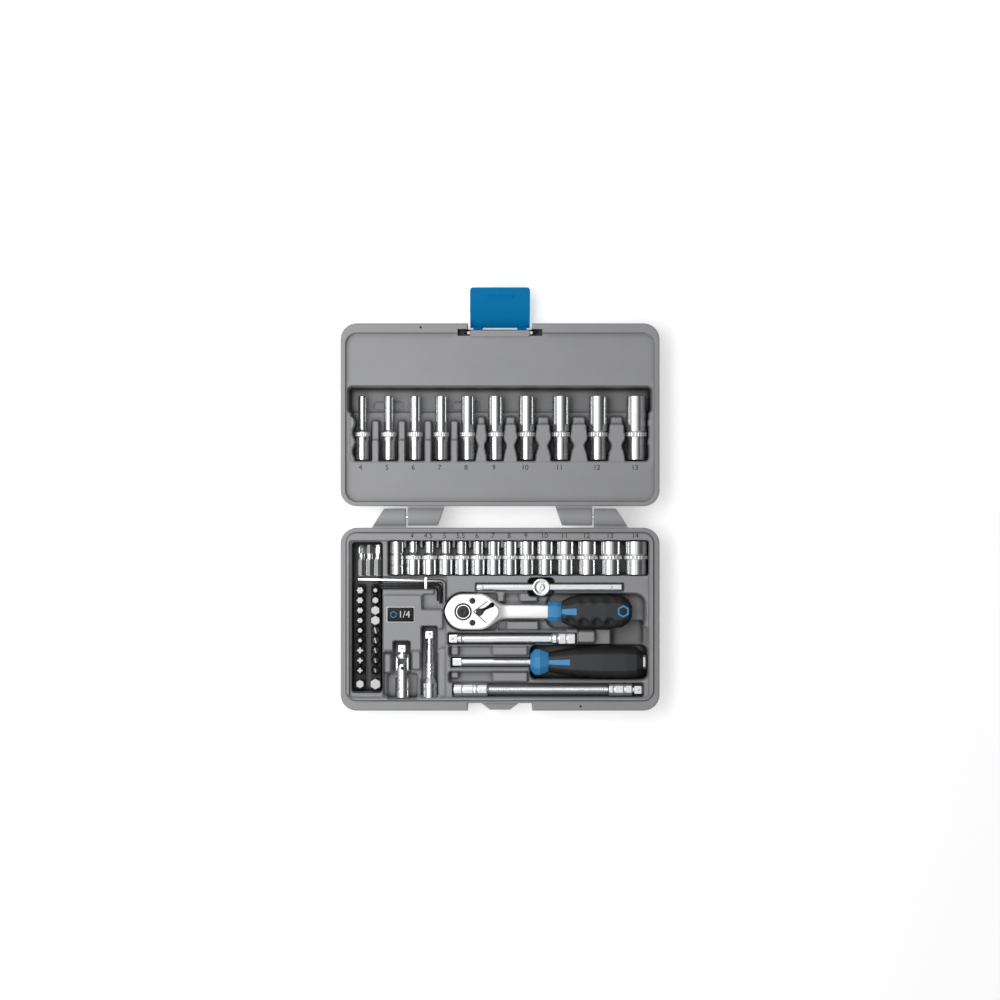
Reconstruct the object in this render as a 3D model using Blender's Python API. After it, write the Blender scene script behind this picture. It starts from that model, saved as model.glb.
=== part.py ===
"""A quarter-inch socket wrench set in a two-part case that lies open.

X runs along the hinge, Y from the base to the lid, Z up; the origin is under the middle of the base.
Every length below is in millimetres, and finish() turns it into metres as it makes a mesh.
"""
import math

import bmesh
import bpy
from mathutils import Matrix, Vector

MM = 0.001

# the case: two equal halves, hinged at the height of their parting plane
CASE_WIDTH = 250.0
HALF_DEPTH = 143.3
HALF_HEIGHT = 27.0
CORNER_R = 12.7
HINGE_Y = 80.1
RIM_GAP = 0.15
RIM_Z = HALF_HEIGHT - RIM_GAP
TONGUE_Z = 28.35
PANEL_Z = 23.0
PIN_D = 3.0
RUN_GAP = 0.35
KNUCKLE_R = 6.75
BASE_FRONT = -HALF_DEPTH / 2
BASE_BACK = HALF_DEPTH / 2
LID_BACK = 2 * HINGE_Y - BASE_BACK
LID_FRONT = 2 * HINGE_Y - BASE_FRONT
NOTCH_HALF = 25.0

# the quarter-inch drive
DRIVE = 6.35
DRIVE_BORE = 6.6
HEX_BIT = 6.35
SEAT_GAP = 0.6

# sockets: nominal size, X of the axis
DEEP_SOCKETS = {
    "4": -108.2, "5": -87.5, "6": -66.9, "7": -46.3, "8": -25.4,
    "9": -3.6, "10": 20.8, "11": 47.8, "12": 77.0, "13": 106.9,
}
SHORT_SOCKETS = {
    "4": -68.1, "4.5": -55.4, "5": -42.5, "5.5": -30.0, "6": -17.2, "7": -4.9, "8": 7.9,
    "9": 21.0, "10": 35.5, "11": 51.2, "12": 68.4, "13": 86.8, "14": 106.6,
}
DEEP_Y, DEEP_Z, DEEP_LENGTH = 125.1, 12.0, 50.0
SHORT_Y, SHORT_Z, SHORT_LENGTH = 34.9, 19.5, 26.0
ADAPTER_X = -81.0

# the latch, which turns on the lid
LATCH_Y, LATCH_Z = 225.5, 18.0
LATCH_LENGTH = 35.0
LATCH_OFFSET = 6.1
LATCH_WALL = 2.2
LATCH_REST = math.radians(-61)

# long tools in the base: height of each axis
TBAR_X, TBAR_Y, TBAR_Z = 32.3, 25.1, 22.0
TBAR_LEFT, TBAR_RIGHT, TBAR_D = -18.4, 95.8, 5.8
RATCHET_X, RATCHET_Y, RATCHET_Z = -28.9, 5.9, 20.5
SPINNER_Y, SPINNER_Z = -33.9, 16.0
EXTENSION_Y, EXTENSION_Z = -15.4, 20.0
FLEX_Y, FLEX_Z = -55.5, 20.0
SHORT_EXTENSION_X, SHORT_EXTENSION_Z = -55.2, 19.0
JOINT_X, JOINT_Y, JOINT_Z = -76.7, -38.5, 19.0
BIT_PITCH, BIT_ROW_TOP, LAST_BIT_Y = 7.85, 22.7, -50.7
RAIL_LEFT_X, RAIL_RIGHT_X = -109.6, -97.6
RAIL_FLOOR, RAIL_TOP = 3.6, 13.5

# the ratchet's head, measured from its gear's axis
HEAD_R = 14.2
SHANK_HALF = 5.9
HEAD_LOW, HEAD_TOP = 16.9 - RATCHET_Z, 26.0 - RATCHET_Z
COVER_LOW, COVER_TOP = 26.3 - RATCHET_Z, 27.8 - RATCHET_Z
LEVER_X = 13.3

materials = {}


def material(name, colour, roughness, metallic=0.0):
    """A plain Principled material, made once for each finish."""
    if name not in materials:
        made = bpy.data.materials.new(name)
        made.use_nodes = True
        shader = made.node_tree.nodes["Principled BSDF"]
        shader.inputs["Base Color"].default_value = (*colour, 1.0)
        shader.inputs["Roughness"].default_value = roughness
        shader.inputs["Metallic"].default_value = metallic
        materials[name] = made
    return materials[name]


def case_grey():
    return material("case_grey", (0.32, 0.32, 0.33), 0.55)


def chrome():
    return material("chrome_steel", (0.82, 0.83, 0.84), 0.14, 1.0)


def black_steel():
    return material("black_steel", (0.035, 0.037, 0.04), 0.35, 0.9)


def grip_black():
    return material("grip_black", (0.03, 0.032, 0.035), 0.6)


def trim_blue():
    return material("trim_blue", (0.03, 0.26, 0.56), 0.4)


def clear_scene():
    for old in list(bpy.data.objects):
        bpy.data.objects.remove(old, do_unlink=True)


def finish(name, bm, surface, at=(0, 0, 0)):
    """An object of this mesh, in metres, with outward faces and its origin at the given point."""
    bmesh.ops.recalc_face_normals(bm, faces=bm.faces)
    bmesh.ops.scale(bm, vec=(MM, MM, MM), verts=bm.verts)
    mesh = bpy.data.meshes.new(name)
    bm.to_mesh(mesh)
    bm.free()
    if surface:
        mesh.materials.append(surface)
    made = bpy.data.objects.new(name, mesh)
    made.location = Vector(at) * MM
    bpy.context.scene.collection.objects.link(made)
    return made


def section(shape, width, height=None, points=12):
    """Points round a circle or oval, a square or a hexagon of this width across its flats."""
    height = width if height is None else height
    ring = []
    for i in range(points):
        degrees = 15 + i * 360 / points
        angle = math.radians(degrees)
        reach = 1.0
        if shape == "square":
            reach = 1 / max(abs(math.cos(angle)), abs(math.sin(angle)))
        elif shape == "hexagon":
            reach = 1 / math.cos(math.radians((degrees - 15) % 60 - 30))
        ring.append((reach * math.cos(angle) * width / 2, reach * math.sin(angle) * height / 2))
    return ring


def on_axis(axis, station, u, v):
    """A point at this station along the axis, and at u and v across it."""
    return {"X": (station, u, v), "Y": (u, station, v), "Z": (u, v, station)}[axis]


def loft(rings, ring_closed=False):
    """A body through rings of equally many points: capped at both ends, or joined end to start."""
    bm = bmesh.new()
    loops = [[bm.verts.new(point) for point in ring] for ring in rings]
    pairs = list(zip(loops, loops[1:]))
    if ring_closed:
        pairs.append((loops[-1], loops[0]))
    else:
        bm.faces.new(loops[0])
        bm.faces.new(loops[-1])
    for low, high in pairs:
        for i in range(len(low)):
            bm.faces.new((low[i - 1], low[i], high[i], high[i - 1]))
    return bm


def turned(axis, stations, ring_closed=False, points=12):
    """A body along an axis. Each station is (position, shape, width) or also a height."""
    rings = []
    for position, shape, width, *height in stations:
        outline = section(shape, width, *height, points=points)
        rings.append([on_axis(axis, position, u, v) for u, v in outline])
    return loft(rings, ring_closed)


def block(low, high):
    """A box between two corners."""
    bm = bmesh.new()
    bmesh.ops.create_cube(bm, size=1.0)
    size = Vector(high) - Vector(low)
    bmesh.ops.scale(bm, vec=size, verts=bm.verts)
    bmesh.ops.translate(bm, vec=(Vector(low) + Vector(high)) / 2, verts=bm.verts)
    return bm


def rounded_ring(low, high, radius, z, steps=4):
    """The outline of a rounded rectangle at height z."""
    ring = []
    corners = ((high[0], high[1], 0), (low[0], high[1], 90), (low[0], low[1], 180), (high[0], low[1], 270))
    for x, y, start in corners:
        side_x = -1 if x == high[0] else 1
        side_y = -1 if y == high[1] else 1
        for i in range(steps + 1):
            angle = math.radians(start + 90 * i / steps)
            ring.append((x + side_x * radius + radius * math.cos(angle),
                         y + side_y * radius + radius * math.sin(angle), z))
    return ring


def pocket(low, high, radius, floor, steps=3, top=40.0):
    """A cutter with rounded corners, from the floor up past the top of the case."""
    return loft([rounded_ring(low, high, radius, z, steps) for z in (floor, top)])


def prism(outline, low_z, high_z):
    """An outline in plan, extruded upwards."""
    return loft([[(x, y, z) for x, y in outline] for z in (low_z, high_z)])


def disc(x, y, radius, low_z, high_z, points=24):
    """A round pocket or boss on a vertical axis."""
    outline = [(x + radius * math.cos(2 * math.pi * i / points),
                y + radius * math.sin(2 * math.pi * i / points)) for i in range(points)]
    return prism(outline, low_z, high_z)


def combine(target, operation, shapes):
    """Boolean the shapes into the target. They stay in the scene as hidden guides."""
    group = bpy.data.collections.new(f"{target.name}_{operation.lower()}")
    bpy.context.scene.collection.children.link(group)
    for number, bm in enumerate(shapes):
        guide = finish(f"{group.name}_{number}", bm, None)
        guide.matrix_world = target.matrix_basis
        guide.hide_render = True
        guide.display_type = "WIRE"
        bpy.context.scene.collection.objects.unlink(guide)
        group.objects.link(guide)
    modifier = target.modifiers.new(operation.title(), "BOOLEAN")
    modifier.operation = operation
    modifier.operand_type = "COLLECTION"
    modifier.collection = group
    modifier.solver = "EXACT"
    return target


# ---------------------------------------------------------------- case

def knuckle(side, inner, outer_far, outer_near, toward_lid):
    """A hinge knuckle and its arm. Its far end slants, so the arm is wider than the barrel."""
    far_y = HINGE_Y + KNUCKLE_R
    slope = (outer_near - outer_far) / (far_y - BASE_BACK)
    outline = [(BASE_BACK - 3, HALF_HEIGHT - 0.3), (HINGE_Y - KNUCKLE_R, HALF_HEIGHT - 0.3)]
    for i in range(1, 12):
        angle = math.radians(180 - i * 270 / 12)
        outline.append((HINGE_Y + KNUCKLE_R * math.cos(angle), HALF_HEIGHT + KNUCKLE_R * math.sin(angle)))
    outline += [(HINGE_Y, HALF_HEIGHT - KNUCKLE_R), (BASE_BACK - 3, HALF_HEIGHT - KNUCKLE_R - 2)]
    rings = []
    for slanted in (False, True):
        ring = []
        for y, z in outline:
            x = outer_far + slope * (far_y - y) if slanted else inner
            ring.append((side * x, 2 * HINGE_Y - y if toward_lid else y, z))
        rings.append(ring)
    return loft(rings)


def pin_bores():
    """Cutters for the pins, which end blind inside the outer knuckles."""
    bores = []
    for side in (-1, 1):
        bore = turned("X", [(side * x, "round", PIN_D + 2 * RUN_GAP) for x in (49.0, 93.0)])
        bmesh.ops.translate(bore, vec=(0, HINGE_Y, HALF_HEIGHT), verts=bore.verts)
        bores.append(bore)
    return bores


def case_shell(name, front, back, rings, at=(0, 0, 0)):
    """A case half: stacked rounded rectangles, each inset from the outer wall."""
    stack = []
    for z, side, toward_low, toward_high, radius in rings:
        low = (-CASE_WIDTH / 2 + side, front + toward_low)
        high = (CASE_WIDTH / 2 - side, back - toward_high)
        stack.append([Vector(p) - Vector(at) for p in rounded_ring(low, high, radius, z)])
    return finish(name, loft(stack), case_grey(), at)


def socket_sizes(size, deep):
    """Outer diameters of a socket: hex end, drive end and ring."""
    if deep:
        hex_end = 1.02 * size + 2.4
        return hex_end, max(10.8, hex_end - 1.8), max(12.0, hex_end + 1.0)
    hex_end = 1.13 * size + 1.8
    return hex_end, max(11.2, hex_end - 1.3), max(11.9, hex_end + 0.9)


def make_base():
    base = case_shell("case_base", BASE_FRONT, BASE_BACK, [
        (0.0, 4.0, 4.0, 4.0, CORNER_R - 4.0),
        (1.2, 1.2, 1.2, 1.2, CORNER_R - 1.2),
        (4.0, 0.0, 0.0, 0.0, CORNER_R),
        (RIM_Z, 0.0, 0.0, 0.0, CORNER_R),
        (RIM_Z, 4.2, 7.5, 3.6, 9.0),
        (TONGUE_Z, 4.5, 7.8, 3.9, 8.7),
    ])
    combine(base, "UNION", [knuckle(side, 73.6, 90.6, 100.5, False) for side in (-1, 1)])
    grip_low, grip_high = RATCHET_Y - 14.2, RATCHET_Y + 14.5
    cuts = [
        # bits and bit rails
        pocket((-116.4, -57.5), (-92.0, 60.6), 2.5, 3.0),
        # short sockets
        pocket((-88.2, SHORT_Y - 0.8), (117.0, SHORT_Y + SHORT_LENGTH + 0.9), 2.0, 9.4),
        # hex keys: long arms, short arms
        pocket((-113.0, 23.2), (-41.6, 33.4), 1.0, 22.0),
        pocket((-51.8, 8.6), (-41.6, 33.0), 1.0, 22.0),
        # sliding T-bar and its head
        pocket((TBAR_LEFT - 0.9, 21.5), (TBAR_RIGHT + 1.6, 28.7), 1.0, 18.4),
        pocket((TBAR_X - 10.4, 17.7), (TBAR_X + 10.4, 32.5), 3.0, 6.8),
        # ratchet: head, neck, grip with its finger well
        disc(RATCHET_X, RATCHET_Y, 15.2, 8.8, 40.0, 32),
        pocket((RATCHET_X, RATCHET_Y - 15.2), (RATCHET_X + 27, RATCHET_Y + 15.2), 1.0, 15.6),
        pocket((RATCHET_X + 20, -2.2), (46.0, 14.0), 1.0, 15.6),
        pocket((36.2, grip_low), (114.5, grip_high), 6.0, 11.0),
        pocket((87.0, -22.0), (113.5, 0.0), 3.0, 5.0),
        # long extension
        pocket((-41.2, -21.6), (60.4, -9.3), 1.5, 13.6),
        # spinner handle: shaft, grip
        pocket((-38.9, -38.2), (24.5, -29.6), 1.5, 12.0),
        pocket((22.9, -48.0), (116.6, -19.8), 4.0, 2.2),
        # flexible extension
        pocket((-37.4, -61.9), (113.0, -49.2), 1.5, 13.6),
        # universal joint, wide enough for its body to swing, and short extension
        pocket((-83.2, -62.9), (-70.2, -19.1), 1.5, 12.0),
        pocket((-88.6, -62.9), (-64.8, -43.0), 1.5, 12.0),
        pocket((-61.8, -62.9), (-48.6, -8.2), 1.5, 12.4),
        # seat of the badge
        pocket((-89.3, -3.0), (-66.3, 10.4), 0.5, 27.3),
    ]
    # front notch, with the catch tongue left standing in it
    wall = BASE_FRONT + 5.85
    tongue_low, tongue_high = 10.6, 24.0
    for low, high in ((-1.0, tongue_low), (tongue_high, 40.0)):
        cuts.append(block((-NOTCH_HALF, BASE_FRONT - 5, low), (NOTCH_HALF, wall, high)))
    for side in (-1, 1):
        outline = [(side * x, y) for x, y in (
            (NOTCH_HALF, wall), (14.4, wall), (8.0, BASE_FRONT + 0.6), (8.0, BASE_FRONT - 5),
            (NOTCH_HALF, BASE_FRONT - 5))]
        cuts.append(prism(outline, tongue_low - 0.5, tongue_high + 0.5))
    cuts.append(block((-8.5, BASE_FRONT - 5, tongue_low - 0.5), (8.5, BASE_FRONT + 0.6, tongue_high + 0.5)))
    combine(base, "DIFFERENCE", cuts + pin_bores())


def make_lid():
    """The lid's origin is on the hinge axis."""
    axis_point = (0, HINGE_Y, HALF_HEIGHT)
    lid = case_shell("case_lid", LID_BACK, LID_FRONT, [
        (0.0, 4.0, 4.0, 4.0, CORNER_R - 4.0),
        (1.2, 1.2, 1.2, 1.2, CORNER_R - 1.2),
        (4.0, 0.0, 0.0, 0.0, CORNER_R),
        (RIM_Z, 0.0, 0.0, 0.0, CORNER_R),
        (RIM_Z, 3.4, 2.9, 7.0, 9.8),
        (PANEL_Z, 3.7, 3.2, 7.3, 9.5),
    ], axis_point)

    def local(bm):
        bmesh.ops.translate(bm, vec=-Vector(axis_point), verts=bm.verts)
        return bm

    combine(lid, "UNION", [local(knuckle(side, 72.2, 48.6, 43.3, True)) for side in (-1, 1)])
    cuts = [
        # finger trough above the deep sockets
        pocket((-119.8, 160.5), (119.8, 182.8), 3.5, 3.2),
        # latch: slot for its pin ends, open notch for its flap, room for its two arms
        block((-33.2, 222.2, 14.0), (33.2, 227.3, 40.0)),
        block((-NOTCH_HALF, LATCH_Y - 0.4, -1.0), (NOTCH_HALF, LID_FRONT + 5, 40.0)),
    ]
    cuts += [block((x - 4.6, 222.2, 8.6), (x + 4.6, LATCH_Y, 40.0)) for x in (-17.5, 17.5)]
    for name, x in DEEP_SOCKETS.items():
        size = float(name)
        ring = socket_sizes(size, True)[2]
        half = ring / 2 + SEAT_GAP
        cuts.append(pocket((x - half, DEEP_Y - 1.0), (x + half, 161.5), 1.5, DEEP_Z - ring / 2 - SEAT_GAP, 2))
    combine(lid, "DIFFERENCE", [local(bm) for bm in cuts + pin_bores()])


def make_hinge_pins():
    for name, side in (("hinge_pin_left", -1), ("hinge_pin_right", 1)):
        pin = turned("X", [(side * x, "round", PIN_D) for x in (50.0, 92.0)])
        finish(name, pin, chrome(), (0, HINGE_Y, HALF_HEIGHT))


def make_latch():
    """The latch is drawn closed, its flap upwards, and then turned back to its open rest."""
    low_y, high_y = LATCH_OFFSET, LATCH_OFFSET + LATCH_WALL
    flap = loft([[(x, y, z) for x, z in (
        (-23.4, 0.0), (23.4, 0.0), (23.4, LATCH_LENGTH - 2), (21.4, LATCH_LENGTH),
        (-21.4, LATCH_LENGTH), (-23.4, LATCH_LENGTH - 2))] for y in (low_y, high_y)])
    latch = finish("latch", flap, trim_blue(), (0, LATCH_Y, LATCH_Z))
    latch.rotation_euler = (LATCH_REST, 0, 0)
    shapes = [block((x - 3.6, -1.9, -1.9), (x + 3.6, LATCH_OFFSET + 1, 2.6)) for x in (-17.5, 17.5)]
    shapes.append(turned("X", [(-28.5, "round", 3.4), (28.5, "round", 3.4)]))
    rib = [(LATCH_OFFSET + 1, 25.6), (LATCH_OFFSET + 1, 29.4), (3.4, 28.0), (3.4, 26.6)]
    shapes.append(loft([[(x, y, z) for y, z in rib] for x in (-10.0, 10.0)]))
    combine(latch, "UNION", shapes)


def make_badge():
    plate = block((-88.8, -2.5, 27.6), (-66.8, 9.9, 28.6))
    finish("badge", plate, material("badge_black", (0.01, 0.011, 0.012), 0.3))


# ---------------------------------------------------------------- sockets and bits

def socket(name, x, y, z, size, length, diameters, ring_at, ring_end):
    """A socket along Y, its drive end at the origin: a square bore meets a hexagon bore inside."""
    hex_end, drive_end, ring = diameters
    square_depth = 9.0 if length < 30 else 11.0
    shoulder = min(DRIVE_BORE * 0.98, size * 0.95)
    stations = [
        (0.0, "round", drive_end),
        (ring_at, "round", drive_end),
        (ring_at + 0.3, "round", ring),
        (ring_end, "round", ring),
        (ring_end + 0.6, "round", hex_end),
        (length, "round", hex_end),
        (length, "hexagon", size),
        (square_depth, "hexagon", size),
        (square_depth, "square", shoulder),
        (square_depth - 0.2, "square", DRIVE_BORE),
        (0.0, "square", DRIVE_BORE),
    ]
    finish(name, turned("Y", stations, ring_closed=True), chrome(), (x, y, z))


def make_sockets():
    for name, x in DEEP_SOCKETS.items():
        size = float(name)
        diameters = socket_sizes(size, True)
        socket(f"deep_socket_{name}", x, DEEP_Y, DEEP_Z, size, DEEP_LENGTH, diameters, 18.3, 21.5)
    for name, x in SHORT_SOCKETS.items():
        size = float(name)
        node = "socket_" + name.replace(".", "_")
        diameters = socket_sizes(size, False)
        socket(node, x, SHORT_Y, SHORT_Z, size, SHORT_LENGTH, diameters, 12.1, 14.8)
    stations = [
        (0.0, "round", 11.4), (15.2, "round", 11.4), (15.6, "round", 10.6), (16.2, "round", 10.6),
        (16.6, "round", 11.4), (SHORT_LENGTH, "round", 11.4), (SHORT_LENGTH, "hexagon", HEX_BIT + 0.2),
        (9.0, "hexagon", HEX_BIT + 0.2), (9.0, "square", DRIVE_BORE * 0.96), (8.8, "square", DRIVE_BORE),
        (0.0, "square", DRIVE_BORE),
    ]
    finish("bit_adapter", turned("Y", stations, ring_closed=True), chrome(), (ADAPTER_X, SHORT_Y, SHORT_Z))


def make_long_bits():
    tips = (("long_bit_cross", -108.4, 5.0), ("long_bit_hex", -102.0, 5.4), ("long_bit_star", -95.6, 3.6))
    for name, x, tip in tips:
        stations = [
            (0.0, "hexagon", 5.6), (14.0, "hexagon", 5.6), (17.0, "hexagon", tip),
            (22.0, "hexagon", tip), (24.3, "hexagon", tip * 0.6),
        ]
        finish(name, turned("Y", stations, points=6), chrome(), (x, 33.9, 24.0))


def bent_rod(path, width):
    """A six-sided rod along a path in a level plane."""
    rings = []
    for i, point in enumerate(path):
        before = Vector(path[max(i - 1, 0)])
        after = Vector(path[min(i + 1, len(path) - 1)])
        along = (after - before).normalized()
        across = Vector((-along.y, along.x))
        rings.append([(point[0] + across.x * u, point[1] + across.y * u, v)
                      for u, v in section("hexagon", width, points=6)])
    return loft(rings)


def make_hex_keys():
    """Three keys nest in each other: the long arms lie along X, the short arms point to -Y."""
    keys = (
        ("hex_key_large", 2.4, (-111.0, 31.4), (-43.7, 29.9), 11.2, chrome()),
        ("hex_key_medium", 1.9, (-93.6, 27.1), (-46.5, 27.1), 12.4, black_steel()),
        ("hex_key_small", 1.5, (-93.6, 24.8), (-48.75, 24.8), 14.4, black_steel()),
    )
    bend = 3.2
    for name, width, start, corner, end_y, surface in keys:
        path = [start]
        for i in range(5):
            angle = math.radians(90 - 22.5 * i)
            path.append((corner[0] - bend + bend * math.cos(angle),
                         corner[1] - bend + bend * math.sin(angle)))
        path.append((corner[0], end_y))
        origin = Vector((corner[0], corner[1]))
        local = [tuple(Vector(p) - origin) for p in path]
        finish(name, bent_rod(local, width), surface, (corner[0], corner[1], 25.4))


def make_bit_rails():
    """Ten bits stand in each plastic rail. The last place holds a bigger hexagon."""
    rails = (
        ("bit_rail_left", RAIL_LEFT_X, (4.6, 4.2, 3.8, 3.4, 3.0, 2.6, 4.4, 4.2, 3.6), 6.4),
        ("bit_rail_right", RAIL_RIGHT_X, (3.0, 4.4, 5.4, 5.9, 4.6, 4.8, 4.4, 4.0, 3.6), 8.0),
    )
    for name, x, tips, last in rails:
        rail = finish(name, block((-3.9, -54.9, RAIL_FLOOR), (3.9, 27.2, RAIL_TOP)), black_steel(), (x, 0, 0))
        places = [(BIT_ROW_TOP - i * BIT_PITCH, HEX_BIT, tip) for i, tip in enumerate(tips)]
        places.append((LAST_BIT_Y, last - 0.2, last))
        bits = []
        for y, body, tip in places:
            bit = turned("Z", [(RAIL_FLOOR + 1, "hexagon", body), (19.5, "hexagon", body),
                               (21.5, "hexagon", tip), (28.4, "hexagon", tip * 0.97)], points=6)
            bmesh.ops.translate(bit, vec=(0, y, 0), verts=bit.verts)
            bits.append(bit)
        combine(rail, "UNION", bits)


# ---------------------------------------------------------------- handles and drivers

def make_tbar():
    bar = [(TBAR_LEFT - TBAR_X, "round", 4.8), (TBAR_LEFT - TBAR_X + 0.8, "round", TBAR_D),
           (TBAR_RIGHT - TBAR_X - 0.8, "round", TBAR_D), (TBAR_RIGHT - TBAR_X, "round", 4.8)]
    finish("tbar_bar", turned("X", bar), chrome(), (TBAR_X, TBAR_Y, TBAR_Z))
    head = [(-14.5, "square", DRIVE - 1), (-13.7, "square", DRIVE), (-7.0, "square", DRIVE),
            (-7.0, "round", 11.6), (-6.0, "round", 13.6), (6.4, "round", 13.6), (7.4, "round", 11.8)]
    slider = finish("tbar_slider", turned("Z", head), chrome(), (TBAR_X, TBAR_Y, TBAR_Z))
    bore = TBAR_D + 2 * RUN_GAP
    combine(slider, "DIFFERENCE", [turned("X", [(-9, "round", bore), (9, "round", bore)])])


def head_outline(inset=0.0, end=33.0):
    """A half circle, straight sides and an S-shaped neck down to the shank."""
    upper = []
    for degrees in range(180, 89, -15):
        angle = math.radians(degrees)
        upper.append((HEAD_R * math.cos(angle), HEAD_R * math.sin(angle)))
    neck_start, neck_end = 11.0, 32.0
    for i in range(7):
        x = neck_start + (neck_end - neck_start) * i / 6
        fall = (1 + math.cos(math.pi * i / 6)) / 2
        upper.append((x, SHANK_HALF + (HEAD_R - SHANK_HALF) * fall))
    upper = [(x if x > 0 else x * (1 - inset / HEAD_R), y - inset if y > 0.1 else y)
             for x, y in upper if x <= end]
    return upper + [(x, -y) for x, y in reversed(upper[1:])]


def make_ratchet():
    """The ratchet lies with its reversing side up. Its origin is on the gear's axis."""
    at = (RATCHET_X, RATCHET_Y, RATCHET_Z)
    body = finish("ratchet_body", prism(head_outline(), HEAD_LOW, HEAD_TOP), chrome(), at)
    shank = [(26.0, "square", 11.4, 8.4), (65.6, "square", 11.4, 8.4),
             (65.6, "square", 7.6), (118.0, "square", 7.6)]
    combine(body, "UNION", [turned("X", shank)])
    combine(body, "DIFFERENCE", [
        disc(0, 0, 9.6, -1.2, 20.0), disc(0, 0, 5.4, -20.0, 0.0, 16),
        disc(LEVER_X, 0, 4.4, -1.2, 20.0, 16)])
    cover = finish("ratchet_cover", prism(head_outline(0.7, 21.5), COVER_LOW, COVER_TOP), chrome(), at)
    combine(cover, "DIFFERENCE", [disc(0, 0, 7.3, -20, 20), disc(LEVER_X, 0, 2.3, -20, 20, 12)])
    gear = [(9.9 - RATCHET_Z, "square", DRIVE - 0.8), (10.6 - RATCHET_Z, "square", DRIVE),
            (-3.9, "square", DRIVE), (-3.9, "round", 9.8), (-0.8, "round", 9.8), (-0.8, "round", 18.2),
            (5.2, "round", 18.2), (5.2, "round", 13.8), (7.5, "round", 13.8), (7.5, "round", 10.6),
            (3.6, "round", 10.6)]
    finish("ratchet_gear", turned("Z", gear), black_steel(), at)
    button = [(4.9, "round", 9.7), (7.8, "round", 9.7), (8.3, "round", 8.4)]
    finish("ratchet_button", turned("Z", button), black_steel(), at)
    pivot = (RATCHET_X + LEVER_X, RATCHET_Y, RATCHET_Z)
    lever = finish("ratchet_lever", turned("Z", [
        (1.0, "round", 3.6), (7.6, "round", 3.6), (7.6, "round", 5.6), (9.6, "round", 5.0)]),
                   black_steel(), pivot)
    lever.rotation_euler = (0, 0, math.radians(30.5))
    combine(lever, "UNION", [block((0, -1.9, 7.6), (11.0, 1.9, 9.2))])
    pawl = [(-0.8, "round", 4.4), (-0.8, "round", 8.0), (5.0, "round", 8.0), (5.0, "round", 4.4)]
    finish("ratchet_pawl", turned("Z", pawl, ring_closed=True), black_steel(), pivot)
    collar = [(66.2, "round", 15.2, 13.2), (74.8, "round", 15.2, 14.0), (77.0, "round", 12.5, 12.5),
              (77.0, "square", 8.3), (66.2, "square", 8.3)]
    finish("ratchet_collar", turned("X", collar, ring_closed=True), trim_blue(), at)
    grip = [(118.6, "square", 8.3), (77.4, "square", 8.3), (77.4, "round", 17.0, 14.4), (84.0, "round", 23.0, 16.4),
            (92.0, "round", 26.6, 17.4), (112.0, "round", 27.4, 17.6), (124.0, "round", 25.0, 16.6),
            (129.5, "round", 19.0, 13.0), (132.4, "round", 9.0, 6.0)]
    finish("ratchet_grip", turned("X", grip), grip_black(), at)


def make_spinner():
    at = (0, SPINNER_Y, SPINNER_Z)
    shaft = [(-37.9, "square", DRIVE - 0.8), (-37.0, "square", DRIVE - 0.2), (-30.0, "square", DRIVE - 0.2),
             (-29.6, "round", 6.4), (60.0, "round", 6.4)]
    finish("spinner_shaft", turned("X", shaft), chrome(), at)
    collar = [(23.7, "round", 12.5), (26.5, "round", 20.6), (31.5, "round", 20.6), (38.0, "round", 14.6),
              (38.0, "round", 7.2), (23.7, "round", 7.2)]
    finish("spinner_collar", turned("X", collar, ring_closed=True), trim_blue(), at)
    grip = [(61.0, "round", 7.2), (38.4, "round", 7.2), (38.4, "round", 15.6), (46.0, "round", 19.0),
            (60.0, "round", 23.4), (80.0, "round", 26.4), (98.0, "round", 26.4), (107.0, "round", 24.6),
            (112.4, "round", 17.0), (112.4, "round", 12.8), (99.6, "round", 12.8)]
    finish("spinner_grip", turned("X", grip), grip_black(), at)
    end = [(100.0, "round", 12.0), (114.0, "round", 12.0), (114.8, "round", 10.8), (114.8, "square", DRIVE_BORE),
           (104.0, "square", DRIVE_BORE)]
    finish("spinner_end_socket", turned("X", end), chrome(), at)


def male_square(tip, shoulder):
    """Stations of a male square from its tip to the shoulder."""
    step = 0.8 if shoulder > tip else -0.8
    return [(tip, "square", DRIVE - 1.2), (tip + step, "square", DRIVE), (shoulder, "square", DRIVE)]


def female_end(neck, mouth, diameter, depth):
    """Stations of a female end: outer wall, mouth, and the bottom of its square bore."""
    inward = depth if neck > mouth else -depth
    return [(neck, "round", diameter), (mouth, "round", diameter), (mouth, "square", DRIVE_BORE),
            (mouth + inward, "square", DRIVE_BORE)]


def make_extensions():
    long_one = male_square(-40.3, -32.5) + [(-32.5, "round", 6.8), (41.0, "round", 6.8), (42.0, "round", 9.4)]
    long_one += female_end(45.0, 59.0, 11.2, 9.0)
    finish("extension_100", turned("X", long_one), chrome(), (0, EXTENSION_Y, EXTENSION_Z))
    short_one = male_square(-9.0, -16.8) + [(-16.8, "round", 6.5), (-34.0, "round", 6.5), (-34.4, "round", 7.6),
                                            (-43.0, "round", 7.6)]
    short_one += female_end(-49.5, -61.9, 11.8, 9.0)
    finish("extension_50", turned("Y", short_one), chrome(), (SHORT_EXTENSION_X, 0, SHORT_EXTENSION_Z))
    at = (0, FLEX_Y, FLEX_Z)
    female = [(-9.6, "round", 9.8)] + female_end(-10.6, -36.3, 11.4, 10.0)
    finish("flex_female", turned("X", female), chrome(), at)
    finish("flex_shaft", turned("X", [(-9.2, "round", 7.6), (84.6, "round", 7.6)]), chrome(), at)
    male = male_square(111.7, 104.2) + [(104.2, "round", 8.6), (103.4, "round", 10.2), (85.0, "round", 10.2)]
    finish("flex_male", turned("X", male), chrome(), at)


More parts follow.
